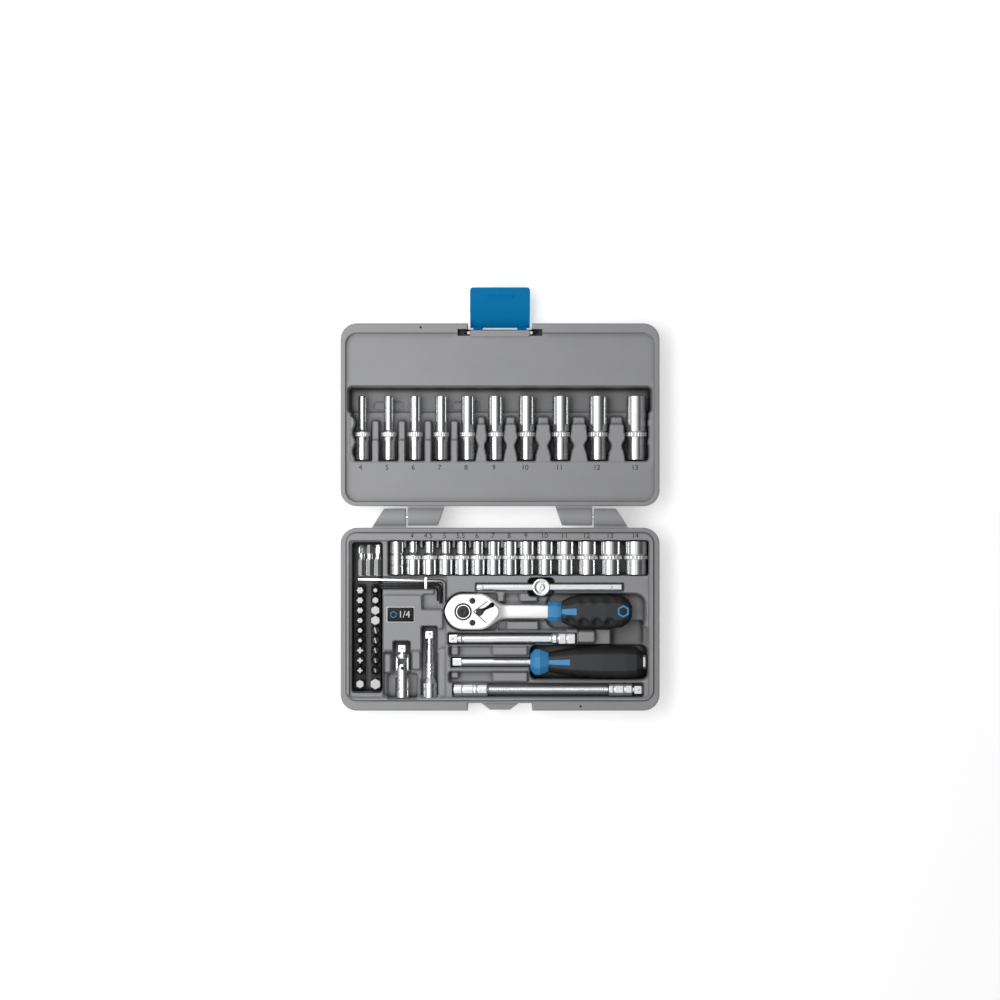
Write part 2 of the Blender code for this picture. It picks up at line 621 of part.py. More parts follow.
def make_universal_joint():
    """Fork, cross and body. The origin of each is where the two axes of the cross meet."""
    at = (JOINT_X, JOINT_Y, JOINT_Z)
    bore = 3.0 + 2 * RUN_GAP
    ear_mid, ear_half = 4.65, 1.0
    ears = [(side * ear_mid - ear_half, side * ear_mid + ear_half) for side in (-1, 1)]
    stem = male_square(18.5, 11.0) + [(11.0, "round", 11.2), (7.5, "round", 11.4)]
    fork = finish("uj_fork", turned("Y", stem), chrome(), at)
    combine(fork, "UNION", [block((low, -2.8, -3.1), (high, 9.0, 3.1)) for low, high in ears])
    combine(fork, "DIFFERENCE", [turned("X", [(-8, "round", bore), (8, "round", bore)])])
    cross = finish("uj_cross", block((-3.0, -2.6, -3.0), (3.0, 2.6, 3.0)), black_steel(), at)
    combine(cross, "UNION", [turned(axis, [(-5.3, "round", 3.0), (5.3, "round", 3.0)]) for axis in ("X", "Z")])
    body = finish("uj_body", turned("Y", female_end(-7.5, -23.4, 11.5, 9.0)), chrome(), at)
    combine(body, "UNION", [block((-3.1, -9.0, low), (3.1, 2.8, high)) for low, high in ears])
    combine(body, "DIFFERENCE", [turned("Z", [(-8, "round", bore), (8, "round", bore)])])


def shade_round_pieces():
    """Round walls shade smooth, and edges sharper than this angle stay crisp."""
    for piece in bpy.context.scene.objects:
        if piece.type == "MESH" and not piece.hide_render:
            piece.data.shade_smooth()
            piece.data.set_sharp_from_angle(angle=math.radians(35))


def main():
    clear_scene()
    make_base()
    make_lid()
    make_hinge_pins()
    make_latch()
    make_badge()
    make_sockets()
    make_long_bits()
    make_hex_keys()
    make_bit_rails()
    make_tbar()
    make_ratchet()
    make_spinner()
    make_extensions()
    make_universal_joint()
    shade_round_pieces()


main()
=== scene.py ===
# %% [markdown]
# # A quarter-inch socket set, open in its case
# Two grey moulded case halves lie open around their hinge. Sockets, a ratchet, a spinner handle, a sliding
# T-bar, extensions, a universal joint, bits and hex keys lie in pockets shaped for them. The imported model
# gives every piece its place and its motion; this script gives each one its real surface. Lengths are written
# in millimetres, as on a tool maker's drawing, and become metres where a mesh is made.

import math

import bpy
import numpy as np
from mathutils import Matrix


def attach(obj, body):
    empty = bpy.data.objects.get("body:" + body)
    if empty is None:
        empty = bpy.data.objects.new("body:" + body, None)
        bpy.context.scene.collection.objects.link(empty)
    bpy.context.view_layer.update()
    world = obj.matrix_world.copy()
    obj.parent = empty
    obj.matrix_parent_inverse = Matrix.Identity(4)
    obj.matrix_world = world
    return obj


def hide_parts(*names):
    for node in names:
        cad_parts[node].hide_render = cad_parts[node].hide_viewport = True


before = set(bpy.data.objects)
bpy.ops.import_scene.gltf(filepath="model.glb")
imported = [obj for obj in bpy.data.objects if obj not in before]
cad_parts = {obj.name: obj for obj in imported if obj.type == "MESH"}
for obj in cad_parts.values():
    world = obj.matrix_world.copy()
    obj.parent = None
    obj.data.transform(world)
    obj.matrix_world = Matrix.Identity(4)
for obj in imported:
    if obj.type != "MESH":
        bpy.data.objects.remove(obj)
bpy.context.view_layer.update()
MM = 0.001

# %% [markdown]
# ## Shader maths as Python
# A material here is an expression, such as `0.3 + 0.1 * grain`. A small class wraps one output socket, and
# each operator adds one Math node. Everything that isn't plain arithmetic comes from a single method, `node`.

# %% One class for every node
class Wire:
    """An output socket of a node tree. Operators on it add Math nodes; node() adds any other kind."""

    def __init__(self, tree, socket=None):
        self.tree = tree
        self.socket = socket

    def node(self, kind, settings=None, inputs=None, output=0):
        """Adds a node: settings first, a ramp's stops among them, then the values or links of its sockets."""
        made = self.tree.nodes.new("ShaderNode" + kind)
        for key, value in (settings or {}).items():
            if key == "stops":
                self.set_stops(made.color_ramp, value)
            else:
                setattr(made, key, value)
        for key, value in (inputs or {}).items():
            if isinstance(value, Wire):
                self.tree.links.new(value.socket, made.inputs[key])
            else:
                made.inputs[key].default_value = value
        return Wire(self.tree, made.outputs[output])

    @staticmethod
    def set_stops(ramp, stops):
        """Puts (position, grey) stops on a colour ramp."""
        while len(ramp.elements) < len(stops):
            ramp.elements.new(1.0)
        for element, (position, grey) in zip(ramp.elements, stops):
            element.position = position
            element.color = (grey, grey, grey, 1.0)

    def math(self, operation, first, second):
        return self.node("Math", {"operation": operation}, {0: first, 1: second})

    def __add__(self, other):
        return self.math("ADD", self, other)

    def __radd__(self, other):
        return self.math("ADD", other, self)

    def __sub__(self, other):
        return self.math("SUBTRACT", self, other)

    def __rsub__(self, other):
        return self.math("SUBTRACT", other, self)

    def __mul__(self, other):
        return self.math("MULTIPLY", self, other)

    def __rmul__(self, other):
        return self.math("MULTIPLY", other, self)

    def __pow__(self, other):
        return self.math("POWER", self, other)

    def noise(self, scale, detail=3.0, stretch=None):
        """Fractal noise on object coordinates, from 0 to 1. Scale is in cells per metre."""
        place = self.node("TexCoord", output="Object")
        if stretch:
            place = self.node("Mapping", inputs={"Vector": place, "Scale": stretch})
        return self.node("TexNoise", inputs={"Vector": place, "Scale": scale, "Detail": detail})

    def blend(self, low, high):
        """A colour between two, by this value. Either may be a colour or another wire."""
        low, high = (c if isinstance(c, Wire) else (*c, 1.0) for c in (low, high))
        return self.node("Mix", {"data_type": "RGBA"}, {0: self, 6: low, 7: high}, output=2)

    def shade(self):
        """The mesh's own painted shade attribute: 0 where a mesh has none."""
        return self.node("Attribute", {"attribute_name": "shade"}, output=2)

# %% [markdown]
# ## The finishes
# Every finish is a Principled shader whose colour, roughness and bump vary a little over the surface, as
# moulding, plating and handling leave them; where a mesh carries painted shade, its colour is darkened
# towards black as well. Constants such as coat roughness sit on the shader's own sockets.

# %% A finish from its parts
def finish(name, build, **constants):
    """A material. build(wire) gives the varying inputs; constants are set on the shader's own sockets."""
    made = bpy.data.materials.new(name)
    made.use_nodes = True
    tree = made.node_tree
    shader = tree.nodes["Principled BSDF"]
    for key, value in constants.items():
        shader.inputs[key.replace("_", " ")].default_value = value
    for key, wire in build(Wire(tree)).items():
        tree.links.new(wire.socket, shader.inputs[key])
    return made


def bumped(wire, height, depth):
    """A bump normal of a real depth in millimetres."""
    return wire.node("Bump", inputs={"Strength": 1.0, "Distance": depth * MM, "Height": height})

# %% Moulded plastics
def moulded(low, high, rough, grain_depth):
    """Blow-moulded plastic: broad cloudiness from the cooling, a fine spark grain, roughness that follows
    both, and painted shade that darkens the colour towards black where the mesh carries it."""
    # the colour that painted shade darkens towards
    painted_shade_colour = tuple(0.05 * channel for channel in low)

    def build(wire):
        cloud = wire.noise(38.0, 4.0)
        streak = wire.noise(60.0, 2.0, stretch=(0.25, 1.0, 1.0))
        grain = wire.noise(2600.0, 2.0)
        tone = 0.6 * cloud + 0.25 * streak + 0.15 * grain
        return {
            "Base Color": wire.shade().blend(tone.blend(low, high), painted_shade_colour),
            "Roughness": rough + 0.14 * cloud + 0.08 * grain,
            "Normal": bumped(wire, grain + 0.6 * wire.noise(700.0, 2.0), grain_depth),
        }
    return build


CASE = finish("case_plastic", moulded((0.255, 0.257, 0.265), (0.33, 0.331, 0.338), 0.42, 0.035),
              Specular_IOR_Level=0.4)
LATCH = finish("latch_plastic", moulded((0.0, 0.165, 0.40), (0.0, 0.20, 0.45), 0.5, 0.02),
               Specular_IOR_Level=0.1)
BLUE = finish("trim_plastic", moulded((0.03, 0.23, 0.5), (0.05, 0.29, 0.58), 0.34, 0.02),
              Specular_IOR_Level=0.45)
GRIP = finish("grip_rubber", moulded((0.018, 0.02, 0.022), (0.034, 0.037, 0.04), 0.5, 0.045),
              Specular_IOR_Level=0.5)

# %% Metals
def plated(low, high, rough, spread, brushed):
    """Plating over steel: faint handling haze, hairlines along the piece, and a very slight ripple; painted
    shade darkens the colour towards black where the mesh carries it.
    """
    # the colour that painted shade darkens towards
    painted_shade_colour = tuple(0.05 * channel for channel in low)

    def build(wire):
        haze = wire.noise(160.0, 5.0)
        hairline = wire.noise(900.0, 3.0, stretch=brushed)
        return {
            "Base Color": wire.shade().blend(haze.blend(low, high), painted_shade_colour),
            "Roughness": rough + spread * haze + 0.5 * spread * hairline,
            "Normal": bumped(wire, hairline + 0.4 * haze, 0.003),
        }
    return build


CHROME = finish("chrome", plated((0.80, 0.81, 0.82), (0.90, 0.905, 0.91), 0.07, 0.12, (1, 0.12, 1)),
                Metallic=1.0)
CHROME_X = finish("chrome_along_x", plated((0.80, 0.81, 0.82), (0.90, 0.905, 0.91), 0.07, 0.12, (0.12, 1, 1)),
                  Metallic=1.0)
SATIN = finish("satin_chrome", plated((0.80, 0.80, 0.80), (0.88, 0.88, 0.88), 0.26, 0.14, (1, 1, 1)),
               Metallic=1.0)
KNURL = finish("knurled_chrome", plated((0.80, 0.80, 0.81), (0.90, 0.90, 0.90), 0.42, 0.12, (1, 1, 1)),
               Metallic=1.0)
OXIDE = finish("black_oxide", plated((0.018, 0.019, 0.02), (0.05, 0.051, 0.053), 0.28, 0.2, (1, 1, 1)),
               Metallic=0.75)
TIP = finish("bare_tip_steel", plated((0.26, 0.26, 0.26), (0.46, 0.46, 0.45), 0.3, 0.2, (1, 1, 1)),
             Metallic=1.0)
# near black: painted shade for the size figures' relief, and the colour of the ratchet's arrow
FIGURE_SHADE_AND_ARROW = finish("painted_figure_shade_and_arrow", moulded((0.02, 0.02, 0.021), (0.04, 0.04, 0.041), 0.6, 0.01),
             Specular_IOR_Level=0.2)
# near black: the badge's own film, and painted shade in the blow holes
BADGE_FILM_AND_HOLE_SHADE = finish("badge_film", moulded((0.004, 0.004, 0.005), (0.008, 0.008, 0.009), 0.35, 0.004),
              Specular_IOR_Level=0.2)
WHITE_INK = finish("badge_white", moulded((0.62, 0.62, 0.62), (0.7, 0.7, 0.7), 0.35, 0.004))
print("finishes:", len(bpy.data.materials))

# %% [markdown]
# ## Shapes as arrays
# A form is a pair: an array of points in millimetres and a list of face arrays. Nearly every piece of this
# set is a stack of rings, turned on a lathe or drawn through a die, so one function skins rings into a closed
# body. A closed body's signed volume tells whether its faces look outwards, so each form checks itself.

# %% Rings into a closed form
AROUND = 48
TURN = np.arange(AROUND) * 2 * math.pi / AROUND


def outward(form):
    """Sums the signed volumes of the cones from the origin to each face, and flips every face if it is
    negative."""
    points, faces = form
    centred = points - points.mean(0)
    volume = 0.0
    for corners in faces:
        for k in range(1, corners.shape[1] - 1):
            a, b, c = centred[corners[:, 0]], centred[corners[:, k]], centred[corners[:, k + 1]]
            volume += np.einsum("ij,ij->", a, np.cross(b, c))
    return (points, [f[:, ::-1] for f in faces]) if volume < 0 else form


def skin(rings, loop=False):
    """Quads between neighbouring rings of an array (rings, around, 3), with a cap on each end unless they
    loop."""
    rings = np.asarray(rings, float)
    count, around = rings.shape[:2]
    index = np.arange(count * around).reshape(count, around)
    if loop:
        index = np.vstack([index, index[:1]])
    near, far = index[:-1], index[1:]
    quads = np.stack([near, np.roll(near, -1, 1), np.roll(far, -1, 1), far], -1).reshape(-1, 4)
    faces = [quads] if loop else [quads, index[:1, ::-1], index[-1:]]
    return outward((rings.reshape(-1, 3), faces))


def join(forms):
    """Several forms as one, with the face numbers of each moved past the points before it."""
    points, faces, start = [], [], 0
    for p, fs in forms:
        points.append(p)
        faces += [f + start for f in fs]
        start += len(p)
    return np.vstack(points), faces


def moved(form, shift):
    return form[0] + np.array(shift, float), form[1]

# %% Forms into pieces of the set
made_pieces = []


def piece(name, form, body, surface, replaces=(), sharp=32, shade=None):
    """An object at the origin whose mesh holds its place. It rides on a body and may stand for CAD nodes.

    The painted shade, where given, darkens the first points of the form: 0 leaves the finish as it is, 1
    makes it almost black."""
    points, faces = form
    corners = np.concatenate([f.ravel() for f in faces]).astype(np.int32)
    sizes = np.concatenate([np.full(len(f), f.shape[1]) for f in faces])
    mesh = bpy.data.meshes.new(name)
    mesh.vertices.add(len(points))
    mesh.vertices.foreach_set("co", (points * MM).astype(np.float32).ravel())
    mesh.loops.add(len(corners))
    mesh.loops.foreach_set("vertex_index", corners)
    mesh.polygons.add(len(sizes))
    mesh.polygons.foreach_set("loop_start", np.append(0, np.cumsum(sizes)[:-1]).astype(np.int32))
    mesh.update(calc_edges=True)
    mesh.validate()
    mesh.shade_smooth()
    mesh.set_sharp_from_angle(angle=math.radians(sharp))
    mesh.materials.append(surface)
    # the painted shade is kept as a point attribute, which the finishes read
    if shade is not None:
        values = np.zeros(len(points), np.float32)
        values[:len(shade)] = shade
        mesh.attributes.new("shade", "FLOAT", "POINT").data.foreach_set("value", values)
    made = bpy.data.objects.new(name, mesh)
    bpy.context.scene.collection.objects.link(made)
    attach(made, body)
    if replaces:
        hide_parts(*replaces)
    made_pieces.append((name, int((sizes - 2).sum())))
    return made

# %% Sections and the lathe
def flats(sides, corner=9.0):
    """How far a regular polygon reaches at each angle: 1 / cos(angle from its nearest flat), cut off at a
    corner."""
    step = 2 * math.pi / sides
    return np.minimum(1 / np.cos((TURN + step / 2) % step - step / 2), corner)


ROUND = np.ones(AROUND)
SQUARE = flats(4, 1.34)
HEXAGON = flats(6, 1.13)
OCTAGON = flats(8, 1.07)
TEETH = 1 + 0.02 * np.cos(TURN * AROUND / 2)
ALONG = {"X": (0, 1, 2), "Y": (1, 0, 2), "Z": (2, 0, 1)}

# %% The lathe
def supported(stations, margin=0.12, long=1.4):
    """Adds a ring close to each end of a long span, so that the light runs straight along it."""
    rings = [stations[0]]
    for before, after in zip(stations, stations[1:]):
        length = math.hypot(after[0] - before[0], after[1] - before[1])
        for t in (margin / length, 1 - margin / length) if length > long else ():
            rings.append(tuple((1 - t) * a + t * b for a, b in zip(before, after)))
        rings.append(after)
    return rings


def turned(axis, centre, stations, tall=1.0):
    """A body on an axis. A station is (position, radius, section): the ring is radius × section at each
    angle."""
    stations = supported(stations)
    position, radius = np.array([s[:2] for s in stations], float).T
    reach = np.array([s[2] for s in stations])
    along, across, up = ALONG[axis]
    rings = np.zeros((len(stations), AROUND, 3))
    rings[..., along] = position[:, None]
    rings[..., across] = radius[:, None] * reach * np.cos(TURN)
    rings[..., up] = radius[:, None] * reach * np.sin(TURN) * tall
    return skin(rings + np.array(centre, float))

# %% Knurled bands and eased corners
def band(axis, centre, low, high, inner, outer, section):
    """A ring round an axis: its section runs out, along and back in, and closes on itself."""
    stations = [(low, inner, ROUND), (low, outer - 0.15, ROUND), (low + 0.15, outer, section),
                (high - 0.15, outer, section), (high, outer - 0.15, ROUND), (high, inner, ROUND)]
    along, across, up = ALONG[axis]
    rings = np.zeros((len(stations), AROUND, 3))
    for ring, (position, radius, reach) in zip(rings, stations):
        ring[:, along] = position
        ring[:, across], ring[:, up] = radius * reach * np.cos(TURN), radius * reach * np.sin(TURN)
    return skin(rings + np.array(centre, float), loop=True)


def eased(stations, bevel=0.4, steps=3):
    """Rounds each corner of a profile with a quadratic curve that starts and ends `bevel` from the corner."""
    rounded = [stations[0]]
    for before, here, after in zip(stations, stations[1:], stations[2:]):
        if not (before[2] is here[2] and here[2] is after[2]):
            rounded.append(here)
            continue
        a, b, c = (np.array(s[:2], float) for s in (before, here, after))
        to_a, to_c = np.linalg.norm(a - b), np.linalg.norm(c - b)
        start = b + (a - b) * min(bevel / to_a, 0.45)
        end = b + (c - b) * min(bevel / to_c, 0.45)
        for t in np.linspace(0, 1, steps + 1):
            point = (1 - t) ** 2 * start + 2 * t * (1 - t) * b + t * t * end
            rounded.append((point[0], point[1], here[2]))
    return rounded + [stations[-1]]

# %% Plates with rounded edges
def rounded_rectangle(low, high, radius, steps=8):
    """The outline of a rounded rectangle: four quarter circles around the centres of its corners."""
    angle = np.linspace(0, math.pi / 2, steps + 1)
    arc = np.stack([np.cos(angle), np.sin(angle)], 1) * radius
    corners = []
    left, right, bottom, top = low[0] + radius, high[0] - radius, low[1] + radius, high[1] - radius
    for quarter, (x, y) in enumerate(((right, top), (left, top), (left, bottom), (right, bottom))):
        c, s = math.cos(quarter * math.pi / 2), math.sin(quarter * math.pi / 2)
        corners.append(arc @ np.array([[c, s], [-s, c]]) + (x, y))
    return np.vstack(corners)


def plate(outline, bottom, top, edge=0.5):
    """An outline stacked upwards, its rim rounded by insets e, 0.3e, 0 along the outline's own normals."""
    outline = np.asarray(outline, float)
    tangent = np.roll(outline, -1, 0) - np.roll(outline, 1, 0)
    normal = np.stack([tangent[:, 1], -tangent[:, 0]], 1)
    normal /= np.maximum(np.linalg.norm(normal, axis=1, keepdims=True), 1e-9)
    levels = [(bottom, edge), (bottom + 0.3 * edge, 0.3 * edge), (bottom + edge, 0),
              (top - edge, 0), (top - 0.3 * edge, 0.3 * edge), (top, edge)]
    if edge > 0.3:
        levels = [(bottom, edge + 0.1)] + levels + [(top, edge + 0.1)]
    rings = [np.column_stack([outline - normal * inset, np.full(len(outline), z)]) for z, inset in levels]
    return skin(rings)


def rounded_box(low, high, radius=1.0, edge=0.4):
    return plate(rounded_rectangle(low[:2], high[:2], radius), low[2], high[2], edge)

# %% Turning a form, and lettering
def spun(form, axis, degrees, centre):
    """Turns a form about an axis through a point."""
    a, b = {"X": (1, 2), "Y": (2, 0), "Z": (0, 1)}[axis]
    c, s = math.cos(math.radians(degrees)), math.sin(math.radians(degrees))
    points = form[0] - np.array(centre, float)
    turned_points = points.copy()
    turned_points[:, a] = c * points[:, a] - s * points[:, b]
    turned_points[:, b] = s * points[:, a] + c * points[:, b]
    return turned_points + np.array(centre, float), form[1]


def lettering(text, height, centre, top, depth=0.25):
    """Figures as a thin solid: a text curve, made a mesh and read back as arrays."""
    curve = bpy.data.curves.new("figures", "FONT")
    curve.body = text
    curve.size = height / 0.7 * MM
    curve.extrude = depth / 2 * MM
    curve.align_x, curve.align_y = "CENTER", "CENTER"
    curve.resolution_u = 3
    drawn = bpy.data.objects.new("figures", curve)
    mesh = bpy.data.meshes.new_from_object(drawn)
    points = np.zeros(len(mesh.vertices) * 3)
    mesh.vertices.foreach_get("co", points)
    faces = [np.array([list(p.vertices)]) for p in mesh.polygons]
    bpy.data.objects.remove(drawn)
    bpy.data.curves.remove(curve)
    bpy.data.meshes.remove(mesh)
    return points.reshape(-1, 3) / MM + (centre[0], centre[1], top - depth / 2), faces

# %% [markdown]
# ## The case halves as relief maps
# A blow-moulded tray has no undercuts seen from above, so its whole inside is one height for each point of
# the plan. A fine grid carries that height. Pockets are cut and pads are raised through signed distances: a
# distance is negative inside an outline, and the wall falls in an S between the outline and a line just
# inside it.

# %% Distances and the ground
WALL = 1.7


def smooth(t):
    """The S curve 3t² − 2t³ between 0 and 1."""
    t = np.clip(t, 0, 1)
    return t * t * (3 - 2 * t)


def box_distance(x, y, low, high, radius):
    """Distance to a rounded rectangle: the distance to its inner rectangle, less the radius."""
    across = np.abs(x - (low[0] + high[0]) / 2) - (high[0] - low[0]) / 2 + radius
    along = np.abs(y - (low[1] + high[1]) / 2) - (high[1] - low[1]) / 2 + radius
    outside = np.hypot(np.maximum(across, 0), np.maximum(along, 0))
    return outside + np.minimum(np.maximum(across, along), 0) - radius


class Ground:
    """The height of a case half over its plan, cut and raised feature by feature."""

    def __init__(self, x, y, height):
        self.x, self.y = x, y
        self.z = np.full(x.shape, float(height))

    def cut(self, distance, floor, wall=WALL):
        """Lowers the ground to a floor where the distance is negative."""
        keep = smooth(1 + distance / wall)
        self.z = np.minimum(self.z, floor + (np.maximum(self.z, floor) - floor) * keep)

    def lift(self, distance, top, wall=WALL):
        """Raises the ground to a top where the distance is negative."""
        keep = smooth(1 + distance / wall)
        self.z = np.maximum(self.z, top + (np.minimum(self.z, top) - top) * keep)

    def box(self, low, high, radius=2.0):
        return box_distance(self.x, self.y, low, high, radius)

    def disc(self, centre, radius):
        return np.hypot(self.x - centre[0], self.y - centre[1]) - radius

# %% The grid of a case half
CORNER_R = 12.7
RIM_Z = 26.85
TONGUE_Z = 28.35
CELL = 0.71
EDGE_R = 1.3
NOTCH_HALF = 25.0


def lines(low, high, fine):
    """Grid lines: even steps of a cell, which give way to the fine lines near a narrow feature."""
    even = np.linspace(low, high, int((high - low) / CELL) + 1)
    fine = np.array(sorted(fine))
    clear = np.abs(even[:, None] - fine[None]).min(1) > 0.45 * CELL
    return np.sort(np.concatenate([even[clear], fine]))


def bend_corners(x, y, half_x, half_y, radius):
    """A rectangle's corner squares become quarter discs: (a, b) goes to (a √(1 − b²/2), b √(1 − a²/2))."""
    a = np.clip((np.abs(x) - half_x + radius) / radius, 0, 1)
    b = np.clip((np.abs(y) - half_y + radius) / radius, 0, 1)
    corner = a * b > 0
    new_x = np.where(corner, half_x - radius + radius * a * np.sqrt(1 - b * b / 2), np.abs(x))
    new_y = np.where(corner, half_y - radius + radius * b * np.sqrt(1 - a * a / 2), np.abs(y))
    return np.sign(x) * new_x, np.sign(y) * new_y

# %% Painted shade: how hidden a point is
def local_mean(heights, rows, columns, reach):
    """The mean height within a square around each grid point: a running integral, differenced over the
    square."""
    for axis, places in ((0, rows), (1, columns)):
        h = np.moveaxis(heights, axis, 0)
        steps = np.diff(places)[:, None] * (h[1:] + h[:-1]) / 2
        total = np.vstack([np.zeros_like(h[:1]), np.cumsum(steps, 0)])
        far = np.minimum(places + reach, places[-1])
        near = np.maximum(places - reach, places[0])
        spans = [np.interp(far, places, line) - np.interp(near, places, line) for line in total.T]
        heights = np.moveaxis((np.array(spans) / (far - near)).T, 0, axis)
    return heights


def painted_nook_shade(z, rows, columns):
    """Painted shade for each grid point, from how hidden it is: its depth below the ground around it, near
    and far, and its depth below all."""
    broad = (local_mean(z, rows, columns, 4.5) - z) / 9.0
    fine = (local_mean(z, rows, columns, 0.8) - z) / 3.4
    deep = 0.34 * np.clip((14.0 - z) / 11.0, 0, 1)
    return np.clip(np.clip(np.maximum(broad, fine), 0, 0.8) + deep, 0, 0.93)

# %% A case half
def case_half(low, high, front, notch, fine_x, fine_y, relief):
    """A closed shell: the relief on top, then rings from its border down the outer wall and in over the
    underside.

    front is the side (-1 or 1 along Y) with the latch notch, and notch is its depth. The painted shade of its
    nooks comes with the form."""
    middle = (np.array(low) + high) / 2
    half_x, half_y = (np.array(high) - low) / 2
    edges = [0.0, 0.12, 0.45, 0.9, EDGE_R]
    near_edges = [s * (half_x - e) for s in (-1, 1) for e in edges]
    notch_sides = [s * (NOTCH_HALF + e) for s in (-1, 1) for e in (-0.15, 0.15)]
    columns = lines(-half_x, half_x, near_edges + notch_sides + fine_x)
    rows = lines(-half_y, half_y, [s * (half_y - e) for s in (-1, 1) for e in edges] + fine_y)

    def place(x, y, inset):
        """A point of the plain rectangle, on the outline shrunk by inset, with the notch pressed in."""
        shrunk_x, shrunk_y = x * (1 - inset / half_x), y * (1 - inset / half_y)
        x2, y2 = bend_corners(shrunk_x, shrunk_y, half_x - inset, half_y - inset, CORNER_R - inset)
        depth = 8.0
        push = np.clip((front * y2 - (half_y - inset - depth)) / depth, 0, 1) * notch
        push = push * (1 - max(inset - 3, 0) / 11)
        inside = smooth((NOTCH_HALF + 0.15 - np.abs(x2)) / 0.3)
        return x2, y2 - front * push * inside

    grid_x, grid_y = np.meshgrid(columns, rows)
    x, y = place(grid_x, grid_y, 0.0)
    outline = -box_distance(x, y, (-half_x, -half_y), (half_x, half_y), CORNER_R)
    notch_edge = np.hypot(np.maximum(np.abs(x) - NOTCH_HALF, 0), np.maximum(half_y - notch - front * y, 0))
    inward = np.clip(np.minimum(outline, notch_edge), 0, EDGE_R)
    ground = Ground(x + middle[0], y + middle[1], RIM_Z)
    relief(ground)
    # painted shade: hollows, the feet of walls and deep floors are darkened in the colour
    shade = painted_nook_shade(ground.z, rows, columns).ravel()
    ground.z -= EDGE_R - np.sqrt(EDGE_R**2 - (EDGE_R - inward) ** 2)
    top = np.stack([ground.x, ground.y, ground.z], -1)
    count_y, count_x = x.shape
    index = np.arange(count_x * count_y).reshape(count_y, count_x)
    faces = [np.stack([index[:-1, :-1], index[:-1, 1:], index[1:, 1:], index[1:, :-1]], -1).reshape(-1, 4)]
    border = np.concatenate([index[0, :-1], index[:-1, -1], index[-1, :0:-1], index[:0:-1, 0]])
    border_x, border_y = grid_x.ravel()[border], grid_y.ravel()[border]
    border_z = ground.z.ravel()[border] - 0.02
    rings = []
    for z, inset in ((21.4, 0.0), (20.6, 0.15), (20.2, 0.7), (6.0, 0.9), (4.0, 1.2), (2.3, 1.9), (1.0, 3.2),
                     (0.25, 4.6), (0.0, 6.2), (0.0, 6.5), (0.0, 8.7), (0.0, 9.0), (0.15, 9.4), (0.8, 10.2),
                     (0.8, 10.6), (0.8, 30.0), (0.8, 60.0)):
        ring_x, ring_y = place(border_x, border_y, min(inset, CORNER_R - 2.0))
        if inset > CORNER_R - 2.0:
            ring_x, ring_y = ring_x * (1 - inset / 80), ring_y * (1 - inset / 80)
        rings.append(np.column_stack([ring_x + middle[0], ring_y + middle[1], np.minimum(z, border_z)]))
        border_z = border_z - 0.02
    rings.append(np.tile([middle[0], middle[1], 0.8], (1, 1)))
    points = np.vstack([top.reshape(-1, 3)] + rings)
    start = len(top.reshape(-1, 3))
    previous = border
    for number in range(len(rings) - 1):
        ring = start + number * len(border) + np.arange(len(border))
        faces.append(np.stack([previous, ring, np.roll(ring, -1), np.roll(previous, -1)], -1))
        previous = ring
    centre = np.full(len(border), len(points) - 1)
    faces.append(np.stack([previous, centre, np.roll(previous, -1)], -1))
    return outward((points, faces)), shade

# %% [markdown]
# ### Hinge arms
# Two knuckles on each half turn on steel pins. Each is a barrel with an arm that runs down into the case
# wall, and its outer end slants, so that the arm is wider where it carries the load.

# %% Knuckles
HINGE_Y, HINGE_Z = 80.1, 27.0
KNUCKLE_R = 6.7


def knuckle(side, inner, outer_far, outer_near, toward_lid):
    """The arm's profile, carried from the inner end to the slanted outer end and eased in at both."""
    angle = np.radians(np.linspace(180, -90, 28))
    barrel = np.column_stack([HINGE_Y + KNUCKLE_R * np.cos(angle), HINGE_Z + KNUCKLE_R * np.sin(angle)])
    arm = np.array([[69.0, 16.5], [69.0, 26.0], [HINGE_Y - KNUCKLE_R, 26.4]])
    profile = np.vstack([arm, barrel])
    slope = (outer_near - outer_far) / (HINGE_Y + KNUCKLE_R - 71.65)
    rings = []
    for t, pull in ((0, 0.82), (0, 0.94), (0.025, 0.99), (0.06, 1), (0.3, 1), (0.6, 1), (0.94, 1),
                    (0.975, 0.99), (1, 0.94), (1, 0.82)):
        y, z = (profile[:, 0] - HINGE_Y) * pull + HINGE_Y, (profile[:, 1] - HINGE_Z) * pull + HINGE_Z
        far = outer_far + slope * (HINGE_Y + KNUCKLE_R - y)
        x = side * (inner + t * (far - inner))
        rings.append(np.column_stack([x, 2 * HINGE_Y - y if toward_lid else y, z]))
    return skin(rings)

# %% [markdown]
# ### The base tray
# A raised tongue runs inside the rim. Within it the tray steps down, and every tool has a pocket with its own
# depth. Pads between the pockets carry the tools, and finger wells let a hand reach under the handles.

